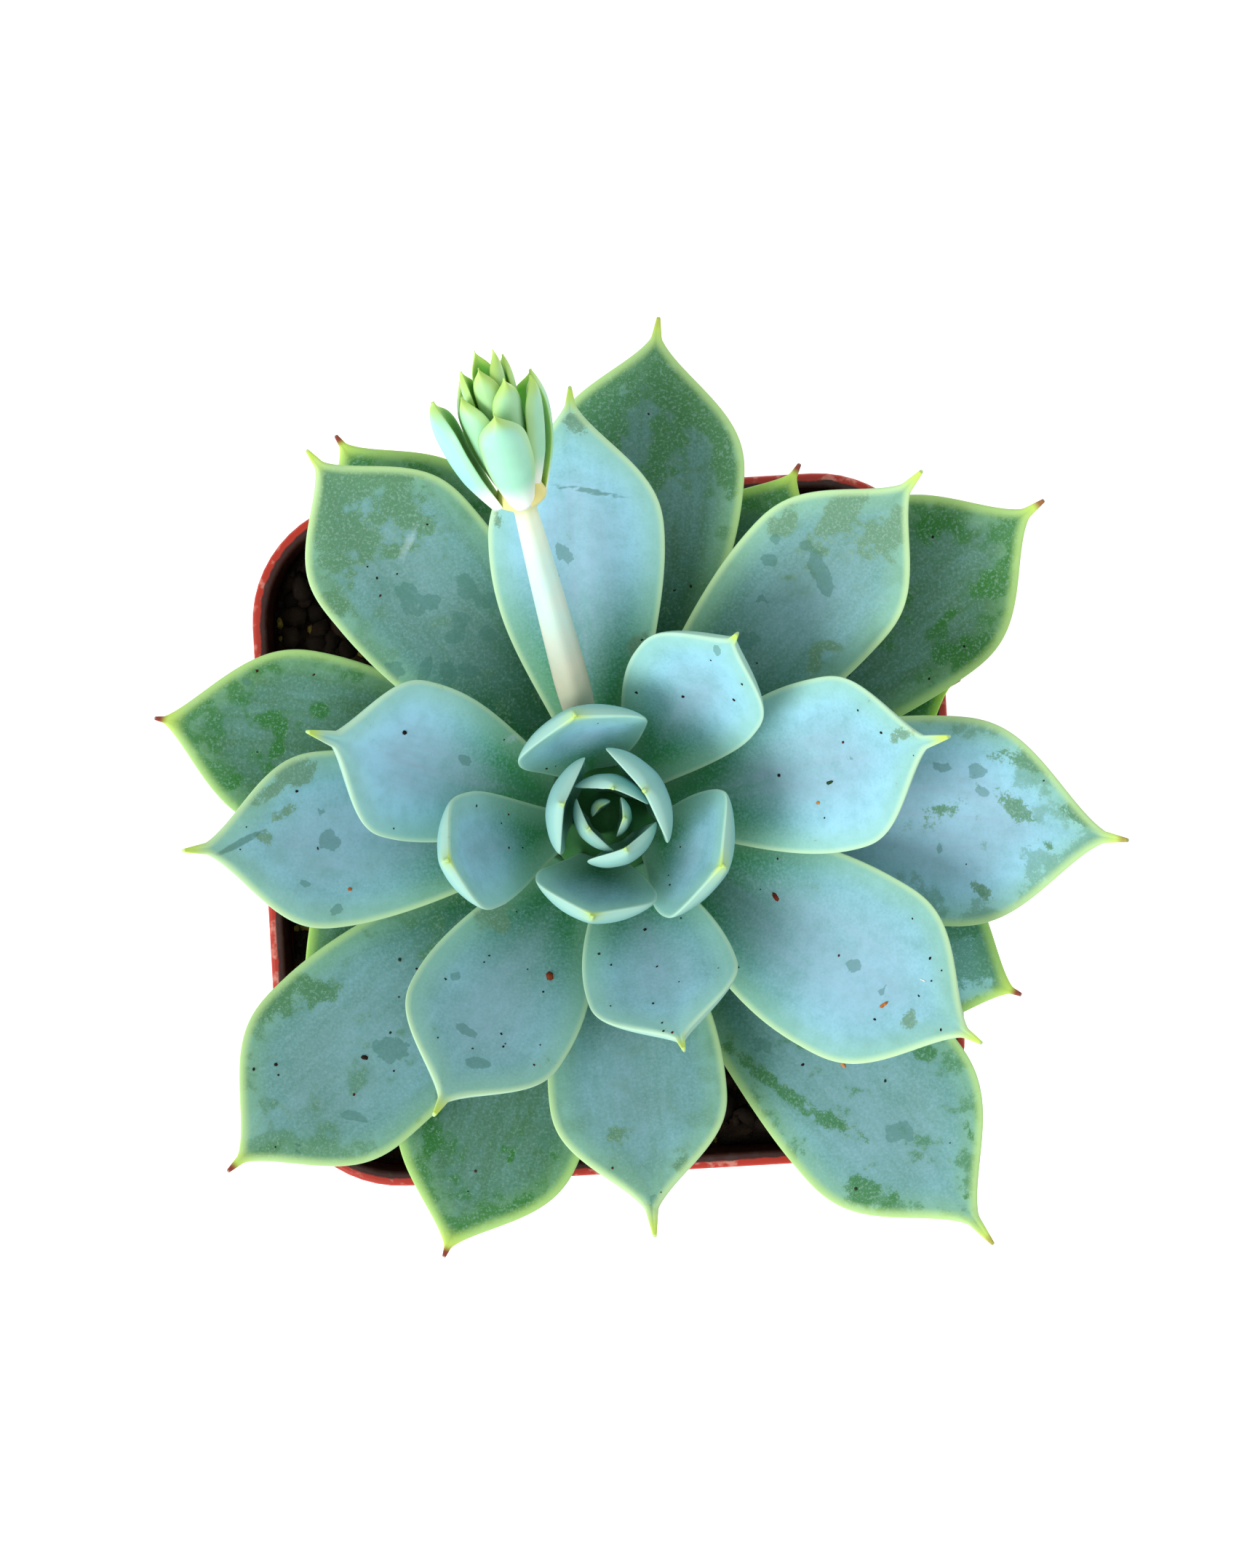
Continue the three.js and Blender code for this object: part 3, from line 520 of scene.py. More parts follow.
def add_node(tree, kind, inputs=(), **settings):
    """Adds a shader node with its settings. Its inputs, in order or by name, are each a
    value, a hex or linear colour, a socket, or a node whose first output is used."""
    item = tree.nodes.new("ShaderNode" + kind)
    for key, value in settings.items():
        setattr(item, key, value)
    open_sockets = [socket for socket in item.inputs if socket.enabled]
    pairs = inputs.items() if isinstance(inputs, dict) else enumerate(inputs)
    for key, value in pairs:
        socket = open_sockets[key] if isinstance(key, int) else next(s for s in open_sockets if s.name == key)
        if isinstance(value, bpy.types.Node):
            value = next(out for out in value.outputs if out.enabled)
        if isinstance(value, str):
            value = linear(value)
        if isinstance(value, bpy.types.NodeSocket):
            tree.links.new(value, socket)
        elif socket.type == "RGBA":
            socket.default_value = (*tuple(value)[:3], 1)
        else:
            socket.default_value = value
    return item


SMOOTH = {"interpolation_type": "SMOOTHSTEP"}
COLOUR = {"data_type": "RGBA"}


def new_material(name, noises=(), **surface):
    """A material with a Principled surface, the function that adds nodes to it, its
    Object coordinates, and a noise for each size in mm, detail and roughness."""
    material = bpy.data.materials.new(name)
    material.use_nodes = True
    for socket, value in surface.items():
        material.node_tree.nodes["Principled BSDF"].inputs[socket.replace("_", " ")].default_value = value
    node = partial(add_node, material.node_tree)
    place = node("TexCoord").outputs["Object"]
    return material, node, place, [
        node("TexNoise", {"Vector": place, "Scale": 1 / (size * MM), "Detail": detail, "Roughness": rough})
        for size, detail, rough in noises]


def finish_surface(material, colour, layers, roughness, height, strength, distance):
    """Lays each layer's colour over the last by its share, and joins the colour, the
    roughness and the bump to the surface."""
    tree = material.node_tree
    for share, layer in layers:
        colour = add_node(tree, "Mix", (share, colour, layer), **COLOUR)
    bump = add_node(tree, "Bump", {"Height": height, "Strength": strength, "Distance": distance * MM})
    for value, socket in ((colour, "Base Color"), (roughness, "Roughness"), (bump, "Normal")):
        tree.links.new(next(out for out in value.outputs if out.enabled),
                       tree.nodes["Principled BSDF"].inputs[socket])
    return material


def leaf_material(plant):
    """Living succulent leaf: green flesh under a powdery wax that is blue-white where it
    is whole, granular where it is rubbed and greener towards the foot and the edge, with
    a thin pale margin and a yellow-green or dried point. Each leaf's blue is partly
    painted light, the green at the foot partly painted shade deep in the rosette, and
    the pale edge and margin partly painted glow of light through the thin edge and,
    on young leaves, a painted highlight."""
    material, node, _, (cloud, patch, mottle, grain) = new_material(
        "waxy_leaf", ((16.0, 2.0, 0.5), (4.5, 4.0, 0.6), (1.9, 3.0, 0.55), (0.36, 2.0, 0.7)),
        IOR=1.42, Specular_IOR_Level=0.32)
    keys = ("edge_mm", "along", "tip_mm", "side_mm", "under", "tone", "age", "dry", *MARKS)
    edge, along, tip, across, under, tone, age, dry, rub, stain, bloom, streak = (
        node("Attribute", attribute_name=key).outputs["Fac"] for key in keys)

    # whole wax thins towards the foot and the edge, and breaks into powder there; the dark
    # green flesh bared towards the foot is partly painted shade deep in the rosette
    hidden = node("Math", (age, -0.14, along), operation="MULTIPLY_ADD")
    reach = node("MapRange", (age, 0.05, 0.3, 0.85, 0.5), **SMOOTH)
    foot = node("MapRange", (hidden, 0.06, reach, 0.0, 1.0), **SMOOTH)
    uneven = node("MapRange", (cloud, 0.3, 0.7, 0.8, 1.0))
    whole = node("Math", (foot, uneven), operation="MULTIPLY")
    thin = node("MapRange", (whole, 0.0, 1.0, 0.7, 0.14))
    speck = node("Math", (grain, -0.5), operation="ADD")
    whole = node("Math", (speck, thin, whole), operation="MULTIPLY_ADD", use_clamp=True)

    # the wax is bluer and fuller on young leaves, and each leaf's tone is partly painted light:
    # bluer and paler on leaves that catch more light; the flesh shows green
    run = node("Math", (tip, 0.13), operation="MULTIPLY")
    run = node("CombineXYZ", (run, across, tone))
    vein = node("TexNoise", {"Vector": run, "Scale": 0.9, "Detail": 3.0, "Roughness": 0.6})
    drift = node("MapRange", (cloud, 0.3, 0.7, -0.09, 0.09))
    drift = node("Math", (vein, 0.3, drift), operation="MULTIPLY_ADD")
    drift = node("Math", (grain, 0.35, drift), operation="MULTIPLY_ADD")
    drift = node("Math", (drift, -0.325), operation="ADD")
    blue = node("Math", (tone, drift), operation="ADD", use_clamp=True)
    wax = node("Mix", (blue, plant.old_wax, plant.wax), **COLOUR)
    flesh = node("Mix", (tone, plant.old_flesh, plant.flesh), **COLOUR)
    lilac = node("MapRange", (edge, 3.0, 9.0), **SMOOTH)
    lilac = node("Math", (lilac, vein), operation="MULTIPLY")
    lilac = node("Math", (lilac, tone), operation="MULTIPLY")
    fleck = node("MapRange", (mottle, 0.42, 0.7, 0.0, 0.2))

    # greener towards the edge: partly thinner wax, partly painted glow of light through
    # the thin edge, pale cyan on young leaves as a painted highlight
    fresh = node("Mix", (age, "#9FD8CC", "#74A84C"), **COLOUR)
    side = node("MapRange", (edge, 0.0, 4.6, 0.62, 0.0), **SMOOTH)

    # rubbed patches: placed ones, and worn edges and points of old leaves
    rough = node("Math", (patch, 2.6, rub), operation="MULTIPLY_ADD")
    rough = node("Math", (mottle, 2.4, rough), operation="MULTIPLY_ADD")
    rough = node("Math", (grain, 2.0, rough), operation="MULTIPLY_ADD")
    placed = node("MapRange", (rough, 3.3, 3.65), **SMOOTH)
    near_edge = node("MapRange", (edge, 0.0, 6.0, 0.12, 0.0))
    near_tip = node("MapRange", (tip, 0.0, 18.0, 0.14, 0.0))
    worn = node("Math", (near_edge, near_tip), operation="ADD")
    worn = node("Math", (worn, patch), operation="ADD")
    worn = node("Math", (speck, 0.3, worn), operation="MULTIPLY_ADD")
    worn = node("MapRange", (worn, 0.59, 0.67), **SMOOTH)
    old = node("MapRange", (age, 0.42, 0.75, 0.0, 0.8), **SMOOTH)
    worn = node("Math", (worn, old), operation="MULTIPLY")
    bare = node("Math", (placed, worn), operation="MAXIMUM")
    bare_tone = node("MapRange", (age, 0.5, 0.75))
    bare_tone = node("Mix", (bare_tone, "#648C6E", "#27701F"), **COLOUR)
    rubbed = node("Math", (bare, 0.82), operation="MULTIPLY")
    frost = node("Math", (bare, 0.3, 0.15), operation="MULTIPLY_ADD")
    crumb = node("MapRange", (grain, 0.48, 0.7), **SMOOTH)
    frost = node("Math", (frost, crumb), operation="MULTIPLY")

    # dried drops, scratches and thicker wax
    ring = node("Math", (mottle, 2.2, stain), operation="MULTIPLY_ADD")
    ring = node("MapRange", (ring, 1.02, 1.14, 0.0, 0.5), **SMOOTH)
    line = node("Math", (mottle, 1.3, streak), operation="MULTIPLY_ADD")
    line = node("MapRange", (line, 0.55, 0.9, 0.0, 0.6), **SMOOTH)
    pale = node("Math", (patch, 1.8, bloom), operation="MULTIPLY_ADD")
    pale = node("Math", (grain, 0.6, pale), operation="MULTIPLY_ADD")
    pale = node("MapRange", (pale, 1.2, 1.9, 0.0, 0.4), **SMOOTH)

    # thin margin, point and back; the pale margin is partly the leaf's own margin and partly
    # painted glow of light through the thin edge, on young leaves mostly a painted highlight
    margin = node("Mix", (age, plant.young_margin_highlight, plant.margin), **COLOUR)
    wide = node("MapRange", (age, 0.2, 0.8, 0.45, 1.5))
    rim = node("Math", (edge, wide), operation="DIVIDE")
    rim = node("MapRange", (rim, 0.1, 1.1, 1.0, 0.0), **SMOOTH)
    strong = node("MapRange", (age, 0.2, 0.6, 0.35, 0.9), **SMOOTH)
    rim = node("Math", (rim, strong), operation="MULTIPLY")
    long = node("MapRange", (age, 0.15, 0.45, 0.25, 1.0))
    point = node("Math", (tip, long), operation="DIVIDE")
    point = node("MapRange", (point, 0.4, 4.4, 0.9, 0.0), **SMOOTH)
    dried = node("MapRange", (tip, 0.5, 1.7, 1.0, 0.0), **SMOOTH)
    dried = node("Math", (dried, dry), operation="MULTIPLY")
    back = node("Math", (under, 0.5), operation="MULTIPLY")

    gloss = node("MapRange", (whole, 0.0, 1.0, 0.44, 0.62))
    layers = ((whole, wax), (lilac, "#8FA9BC"), (fleck, "#4F8C86"), (side, fresh), (rubbed, bare_tone),
              (frost, "#93B8AA"), (ring, "#43776C"), (line, "#3F6F5E"), (pale, "#BBD6DE"),
              (rim, margin), (point, plant.tip), (dried, plant.old_tip), (back, "#8DBDB8"))
    return finish_surface(material, flesh, layers, gloss, grain, 0.10, 0.12)


def bract_material(stalk):
    """Young bract: thin, smooth and juicy, pale blue-green wax on its back, fresh green
    on its face, with a lime edge and point and a whitish foot."""
    material, node, _, (cloud,) = new_material("young_bract", ((3.5, 3.0, 0.5),), IOR=1.42)
    edge, along, tip, under, tone = (node("Attribute", attribute_name=key).outputs["Fac"]
                                     for key in ("edge_mm", "along", "tip_mm", "under", "tone"))
    back = node("Mix", (tone, stalk.bract_tip, stalk.bract_back), **COLOUR)
    fleck = node("MapRange", (cloud, 0.35, 0.7, 0.0, 0.3))
    young = node("MapRange", (tone, 0.3, 1.0, 0.7, 0.3))
    rim = node("MapRange", (edge, 0.1, 0.8, 1.0, 0.0), **SMOOTH)
    rim = node("Math", (rim, young), operation="MULTIPLY")
    foot = node("MapRange", (along, 0.03, 0.34, 0.95, 0.0), **SMOOTH)
    pale = node("Mix", (under, stalk.bract_tip, stalk.bract_foot), **COLOUR)
    point = node("MapRange", (tip, 0.3, 2.6, 0.9, 0.0), **SMOOTH)
    gloss = node("MapRange", (cloud, 0.3, 0.7, 0.38, 0.5))
    layers = ((under, back), (fleck, "#8CC9A0"), (rim, stalk.bract_tip), (foot, pale),
              (point, stalk.bract_tip))
    return finish_surface(material, stalk.bract_face, layers, gloss, cloud, 0.08, 0.3)


def stalk_material(stalk):
    """Juicy flower stalk: smooth, pale grey-green at the foot, waxy mint with a warm
    blush in the middle and paler green under the head, with faint lengthwise ribs."""
    material, node, _, (cloud,) = new_material("fleshy_stalk", ((5, 3.0, 0.5),), IOR=1.42)
    along, rib = (node("Attribute", attribute_name=key).outputs["Fac"] for key in ("along", "rib"))
    low = node("MapRange", (along, 0.3, 0.66), **SMOOTH)
    rise = node("MapRange", (along, 0.72, 0.92), **SMOOTH)
    blush = node("MapRange", (cloud, 0.42, 0.7, 0.0, 0.3))
    neck = node("MapRange", (along, 0.9, 0.99), **SMOOTH)
    gloss = node("MapRange", (cloud, 0.3, 0.7, 0.4, 0.52))
    layers = ((low, stalk.middle_colour), (rise, stalk.high_colour), (blush, "#DCC9B4"),
              (neck, "#E3DC8C"))
    return finish_surface(material, stalk.low_colour, layers, gloss, rib, 0.25, 0.3)


def stem_material():
    """Woody green stem with the dry scars of dropped leaves."""
    material, node, place, (bark,) = new_material("scarred_stem", ((2.4, 5.0, 0.5),), IOR=1.45)
    scar = node("MapRange", (bark, 0.45, 0.62), **SMOOTH)
    height = node("SeparateXYZ", (place,)).outputs["Z"]
    fresh = node("MapRange", (height, 0.082, 0.090))
    gloss = node("MapRange", (bark, 0.3, 0.7, 0.6, 0.8))
    layers = ((scar, "#8C7652"), (fresh, "#2E6A34"))
    return finish_surface(material, "#6E8A52", layers, gloss, bark, 0.5, 0.5)


def tinted_material(name, roughness, grain_mm, bump_mm):
    """Loose bits that carry their own tint, dull and rough from a fine grain."""
    material, node, _, (grain,) = new_material(name, ((grain_mm, 3.0, 0.5),), IOR=1.4,
                                               Specular_IOR_Level=0.15)
    tint = node("Attribute", attribute_name="tint").outputs["Color"]
    shade = node("MapRange", (grain, 0.42, 0.7, 0.0, 0.5))
    gloss = node("MapRange", (grain, 0.3, 0.7, roughness - 0.1, roughness))
    return finish_surface(material, tint, ((shade, "#17110D"),), gloss, grain, 0.5, bump_mm)


def soil_material(soil):
    """Damp potting mix: near-black peat with brown bark and olive, mossy lumps."""
    material, node, _, (lump, clod, grain) = new_material(
        "potting_mix", ((7.0, 4.0, 0.5), (2.6, 4.0, 0.5), (0.7, 4.0, 0.5)), IOR=1.4,
        Specular_IOR_Level=0.1)
    brown = node("MapRange", (clod, 0.45, 0.65, 0.0, 0.8), **SMOOTH)
    moss = node("MapRange", (lump, 0.55, 0.68, 0.0, 0.6), **SMOOTH)
    gloss = node("MapRange", (grain, 0.3, 0.7, 0.7, 0.95))
    layers = ((brown, "#2C1E13"), (moss, "#5A4E2A"))
    return finish_surface(material, soil.colour, layers, gloss, grain, 0.8, 0.5)


def pot_material(pot):
    """Injection-moulded polypropylene, terracotta red: a soft sheen on a faintly
    pebbled skin, the lip scuffed pale and pinkish with a painted highlight, and the inside
    painted dark as shade."""
    material, node, place, (cloud, scuff, skin) = new_material(
        "terracotta_polypropylene", ((22.0, 2.0, 0.5), (1.6, 5.0, 0.5), (0.6, 2.0, 0.5)), IOR=1.49,
        Specular_IOR_Level=0.4)
    height = node("SeparateXYZ", (place,)).outputs["Z"]
    lip = node("MapRange", (height, (pot.height - 1.0) * MM, pot.height * MM))
    inner = node("Attribute", attribute_name="inner").outputs["Fac"]
    # pale pinkish scuffs along the top of the lip: partly wear, partly a painted highlight where the lip's
    # gloss catches the light
    worn = node("MapRange", (scuff, 0.52, 0.68, 0.0, 0.5), **SMOOTH)
    worn = node("Math", (worn, lip), operation="MULTIPLY")
    shade = node("MapRange", (cloud, 0.35, 0.7))
    # painted shade: the inside of the pot and the inner part of the lip darkened almost to black, broken up
    # by the scuff noise
    painted_inner_shade = node("Math", (scuff, 0.9, inner), operation="MULTIPLY_ADD")
    painted_inner_shade = node("MapRange", (painted_inner_shade, 0.75, 1.05, 0.0, 0.94), **SMOOTH)
    gloss = node("MapRange", (scuff, 0.3, 0.7, 0.34, 0.5))
    layers = ((shade, "#A62712"), (worn, "#E3A493"), (painted_inner_shade, "#1A0F0B"))
    return finish_surface(material, pot.colour, layers, gloss, skin, 0.15, 0.1)


def floor_material():
    """Seamless white studio paper, lit to near white."""
    return new_material("studio_paper", Roughness=0.9, Base_Color=(0.9, 0.9, 0.9, 1),
                        Emission_Color=(1, 1, 1, 1), Emission_Strength=0.6)[0]


def hand_over(piece, slot, *nodes):
    """Ties a piece to the plant's one body and hides the nodes that it stands for; the slot is not used."""
    if nodes:
        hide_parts(*nodes)
    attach(piece, "root")


def leaf_slot(step):
    """Colour slot of a leaf by its place in the spiral."""
    for slot, limit in (("leaf_heart", 6), ("leaf_inner", 17), ("leaf_outer", 26)):
        if step < limit:
            return slot
    return "leaf_old"


def grow_leaf(row, plant):
    """One leaf of the spiral: its rings, the values over them and its facts."""
    leaf, foot, outward = leaf_facts(row, plant)
    rings, values, t, wide = blade_surface(foot, outward, UP, leaf, LEAF_ROWS, LEAF_COLUMNS,
                                           LEAF_SEED + leaf["step"])
    values.update(mark_fields(leaf, t, wide))
    for key, value in (("tone", leaf["tone"]), ("age", leaf["step"] / LAST_STEP), ("dry", leaf["dry"])):
        values[key] = np.full(wide.shape, value)
    return rings, values, leaf


class SUCCULENT_OT_leaves(bpy.types.Operator):
    """Grow the spiral of fleshy leaves"""
    bl_idname = "succulent.leaves"
    bl_label = "Leaves"

    def execute(self, context):
        plant = context.scene.succulent_plant
        material = leaf_material(plant)
        for row in LEAVES:
            rings, values, leaf = grow_leaf(row, plant)
            step = leaf["step"]
            closed = {key: close_values(value) for key, value in values.items()}
            piece = make_mesh(f"leaf_blade_{step:02d}", close_rings(rings),
                              tube_faces(LEAF_ROWS, LEAF_COLUMNS), closed, material)
            hand_over(piece, leaf_slot(step), f"leaf_{step:02d}")
        return {"FINISHED"}


def lumps(places, sizes, seed, turns=None):
    """Rough bits: a twenty-sided body with its corners moved in or out at random,
    stretched to three half sizes, turned, and set at its place."""
    rng = np.random.default_rng(seed)
    count = len(places)
    g = (1 + math.sqrt(5)) / 2
    body = np.array([(-1, g, 0), (1, g, 0), (-1, -g, 0), (1, -g, 0), (0, -1, g), (0, 1, g),
                     (0, -1, -g), (0, 1, -g), (g, 0, -1), (g, 0, 1), (-g, 0, -1), (-g, 0, 1)])
    body = body / math.hypot(1, g)
    sides = np.array([(0, 11, 5), (0, 5, 1), (0, 1, 7), (0, 7, 10), (0, 10, 11), (1, 5, 9), (5, 11, 4),
                      (11, 10, 2), (10, 7, 6), (7, 1, 8), (3, 9, 4), (3, 4, 2), (3, 2, 6), (3, 6, 8),
                      (3, 8, 9), (4, 9, 5), (2, 4, 11), (6, 2, 10), (8, 6, 7), (9, 8, 1)])
    points = body[None] * rng.uniform(0.7, 1.15, (count, 12, 1)) * np.asarray(sizes)[:, None, :]
    if turns is None:
        turns = np.linalg.qr(rng.normal(size=(count, 3, 3)))[0]
        turns[:, :, 0] *= np.sign(np.linalg.det(turns))[:, None]
    points = np.einsum("nij,nkj->nki", turns, points) + np.asarray(places)[:, None, :]
    faces = sides[None] + 12 * np.arange(count)[:, None, None]
    return points.reshape(-1, 3), faces.reshape(-1, 3).tolist()


def tints(colours):
    """Each bit's colour, repeated for its twelve corners."""
    return np.repeat(np.array([(*linear(colour), 1.0) for colour in colours]), 12, 0)


class SUCCULENT_OT_litter(bpy.types.Operator):
    """Scatter grit and dry bits on the leaves"""
    bl_idname = "succulent.litter"
    bl_label = "Litter on the leaves"

    def execute(self, context):
        plant = context.scene.succulent_plant
        rng = np.random.default_rng(GRIT_SEED)
        bits = list(BITS)
        steps = [row[0] for row in LEAVES if row[0] > 6]
        chance = np.array([1 + MORE_GRIT * (step in GRITTY_LEAVES) for step in steps])
        for step in rng.choice(steps, plant.grit, p=chance / chance.sum()):
            size = rng.uniform(0.12, 0.28)
            bits.append((int(step), rng.uniform(0.2, 0.9), rng.uniform(-0.85, 0.85), size,
                         size * rng.uniform(0.6, 1), rng.uniform(0, 180), GRIT[rng.integers(len(GRIT))]))
        grown = {row[0]: grow_leaf(row, plant)[0] for row in LEAVES}
        places, sizes, turns = [], [], []
        for step, along, across, half_length, half_width, turn, _ in bits:
            rings = grown[step]
            i = int(round((1 - (1 - along) ** (1 / ROW_POWER)) * (LEAF_ROWS - 1)))
            i = min(max(i, 1), LEAF_ROWS - 2)
            j = int(round(math.acos(across) / (2 * np.pi) * LEAF_COLUMNS))
            forward, sideways = unit(rings[i + 1, j] - rings[i - 1, j]), rings[i, j - 1] - rings[i, j + 1]
            normal = unit(np.cross(forward, sideways))
            axis = math.cos(math.radians(turn)) * forward
            axis = axis + math.sin(math.radians(turn)) * np.cross(normal, forward)
            turns.append(np.stack([axis, np.cross(normal, axis), normal], -1))
            thin = 0.45 * half_width
            sizes.append((half_length, half_width, thin))
            places.append(rings[i, j] + 0.3 * thin * normal)
        points, faces = lumps(places, sizes, LITTER_SEED, np.array(turns))
        piece = make_mesh("leaf_litter", points, faces, {"tint": tints([bit[-1] for bit in bits])},
                          tinted_material("dry_litter", 0.85, 0.5, 0.1))
        hand_over(piece, "potting_mix")
        return {"FINISHED"}


def soil_height(soil, pot, x, y):
    """Level of the mix: a shallow dish, two crossing waves for the rolling lumps, and
    finer lattice noise for the crumbly top."""
    away = np.hypot(x, y) / (pot.rim_width / 2)
    waves = np.sin(x * 0.37 + 1) * np.cos(y * 0.31) + np.sin(x * 0.19 - y * 0.43)
    fine = sum(rise * lattice_noise(x, y, size, seed) for rise, size, seed in SOIL_NOISES)
    return pot.height - soil.drop - soil.dish * np.maximum(0, 1 - away ** 2) + soil.lump * waves + fine


def soil_surface(soil, pot, axis_y):
    """The mix as one body: rings of a rounded square from the pot's floor up its wall,
    then in over the top to the plant's axis."""
    band = pot.height - pot.band_height
    gap, e = soil.gap, pot.edge
    rings = []
    for z, inset in ((pot.floor + gap, e), (pot.floor + gap + e, 0), (band - pot.band_step, 0)):
        half, corner = wall_at(pot, z)
        inset += pot.wall + gap
        rings.append(square_ring(half - inset, corner - inset, z, CORNER_POINTS))
    inset = pot.rim + 0.5 * e + gap
    for z in (band + e, pot.height - soil.drop - 1.5):
        rings.append(square_ring(pot.rim_width / 2 - inset, pot.rim_corner - inset, z, CORNER_POINTS))
    rings = [spread_evenly(ring, SOIL_COLUMNS) for ring in rings]
    edge = rings[-1]
    for share in np.linspace(1, 0.02, SOIL_ROWS):
        ring = edge * [share, share, 1] + [0, axis_y * (1 - share), 0]
        ring[:, 2] = soil_height(soil, pot, ring[:, 0], ring[:, 1]) - (0.8 if share == 1 else 0)
        rings.append(ring)
    rings = np.array(rings)
    return close_rings(rings), tube_faces(*rings.shape[:2])


def spread_evenly(ring, count):
    """A closed ring resampled at even distances along its outline."""
    loop = np.vstack([ring, ring[:1]])
    run = np.concatenate([[0], np.cumsum(np.linalg.norm(np.diff(loop, axis=0), axis=1))])
    at = np.linspace(0, run[-1], count, endpoint=False)
    return np.stack([np.interp(at, run, loop[:, k]) for k in range(3)], -1)


class SUCCULENT_OT_soil(bpy.types.Operator):
    """Fill the pot with potting mix and scatter its crumbs"""
    bl_idname = "succulent.soil"
    bl_label = "Soil"

    def execute(self, context):
        scene = context.scene
        soil, pot = scene.succulent_soil, scene.succulent_pot
        piece = make_mesh("potting_mix", *soil_surface(soil, pot, scene.succulent_plant.axis_y), None,
                          soil_material(soil))
        hand_over(piece, "potting_mix", "soil")
        rng = np.random.default_rng(CRUMB_SEED)
        size = 0.35 + 2.6 * rng.random(soil.crumbs) ** 3
        half, corner = pot.rim_width / 2 - pot.rim - 0.5, pot.rim_corner - pot.rim
        place = rng.uniform(-half, half, (soil.crumbs, 2))
        over = np.maximum(np.abs(place) - (half - corner), 0)
        inside = np.hypot(over[:, 0], over[:, 1]) + 0.8 * size < corner
        place, size = place[inside], size[inside]
        level = soil_height(soil, pot, place[:, 0], place[:, 1]) + 0.15 * size
        sizes = size[:, None] * rng.uniform(0.55, 1.1, (len(size), 3))
        points, faces = lumps(np.column_stack([place, level]), sizes, LUMP_SEED)
        shades = [CRUMB_TINTS[k] for k in rng.integers(len(CRUMB_TINTS), size=len(size))]
        crumbs = make_mesh("soil_crumbs", points, faces, {"tint": tints(shades)},
                           tinted_material("bark_and_peat_crumbs", 0.95, 0.6, 0.2))
        hand_over(crumbs, "potting_mix")
        return {"FINISHED"}


def stem_surface(plant, soil, pot):
    """Rings up the plant's axis, each as wide as the leaves' feet stand apart there,
    ridged by lattice noise where leaves have dropped."""
    top = pot.height - soil.drop - soil.dish
    neck = foot_radius(plant, LAST_STEP) - NECK_GAP
    marks = [*((top - depth, radius) for depth, radius in ROOT_MARKS), (top - 7, neck), (top + 1, neck)]
    for step in range(LAST_STEP, 2, -1):
        marks.append((plant.top - plant.step * step, foot_radius(plant, step) + 0.1))
    marks.append((plant.top - 0.3, 0.6))
    marks = np.array(marks)
    z = np.linspace(marks[0, 0], marks[-1, 0], STEM_ROWS)
    radius = np.interp(z, marks[:, 0], marks[:, 1])[:, None]
    angle = 2 * np.pi * np.arange(STEM_COLUMNS) / STEM_COLUMNS
    bumps = lattice_noise(np.abs(angle - np.pi)[None, :] * 8, z[:, None], 2.4, 11)
    radius = radius + 0.35 * bumps * np.minimum(1, radius / 4)
    spine = np.stack([np.zeros(STEM_ROWS), np.full(STEM_ROWS, plant.axis_y), z], -1)
    return close_rings(upright_tube(spine, radius, STEM_COLUMNS)), tube_faces(STEM_ROWS, STEM_COLUMNS)


class SUCCULENT_OT_stem(bpy.types.Operator):
    """Grow the short stem"""
    bl_idname = "succulent.stem"
    bl_label = "Stem"

    def execute(self, context):
        scene = context.scene
        surface = stem_surface(scene.succulent_plant, scene.succulent_soil, scene.succulent_pot)
        piece = make_mesh("scarred_stem", *surface, None, stem_material())
        hand_over(piece, "stem", "stem")
        return {"FINISHED"}


def head_frame(stalk):
    """Heading of the flower head, and its two cross directions."""
    lean, tilt = math.radians(stalk.angle + stalk.lean), math.radians(stalk.elevation)
    heading = unit(np.array([math.cos(lean), math.sin(lean), math.tan(tilt)]))
    across = unit(np.cross(UP, heading))
    return heading, across, np.cross(heading, across)


def stalk_path(stalk, plant, share):
    """The stalk's centre line: straight in plan, rising evenly plus half a sine wave."""
    share = np.asarray(share, float)[:, None]
    angle = math.radians(stalk.angle)
    outward = np.array([math.cos(angle), math.sin(angle), 0])
    start = foot_radius(plant, stalk.step) + 0.3
    low, high = plant.top - plant.step * stalk.step, plant.top + stalk.above_heart
    level = mix(low, high, share) + 1.5 * np.sin(np.pi * np.clip(share, 0, 1))
    return np.array([0, plant.axis_y, 0]) + mix(start, stalk.reach, share) * outward + level * UP


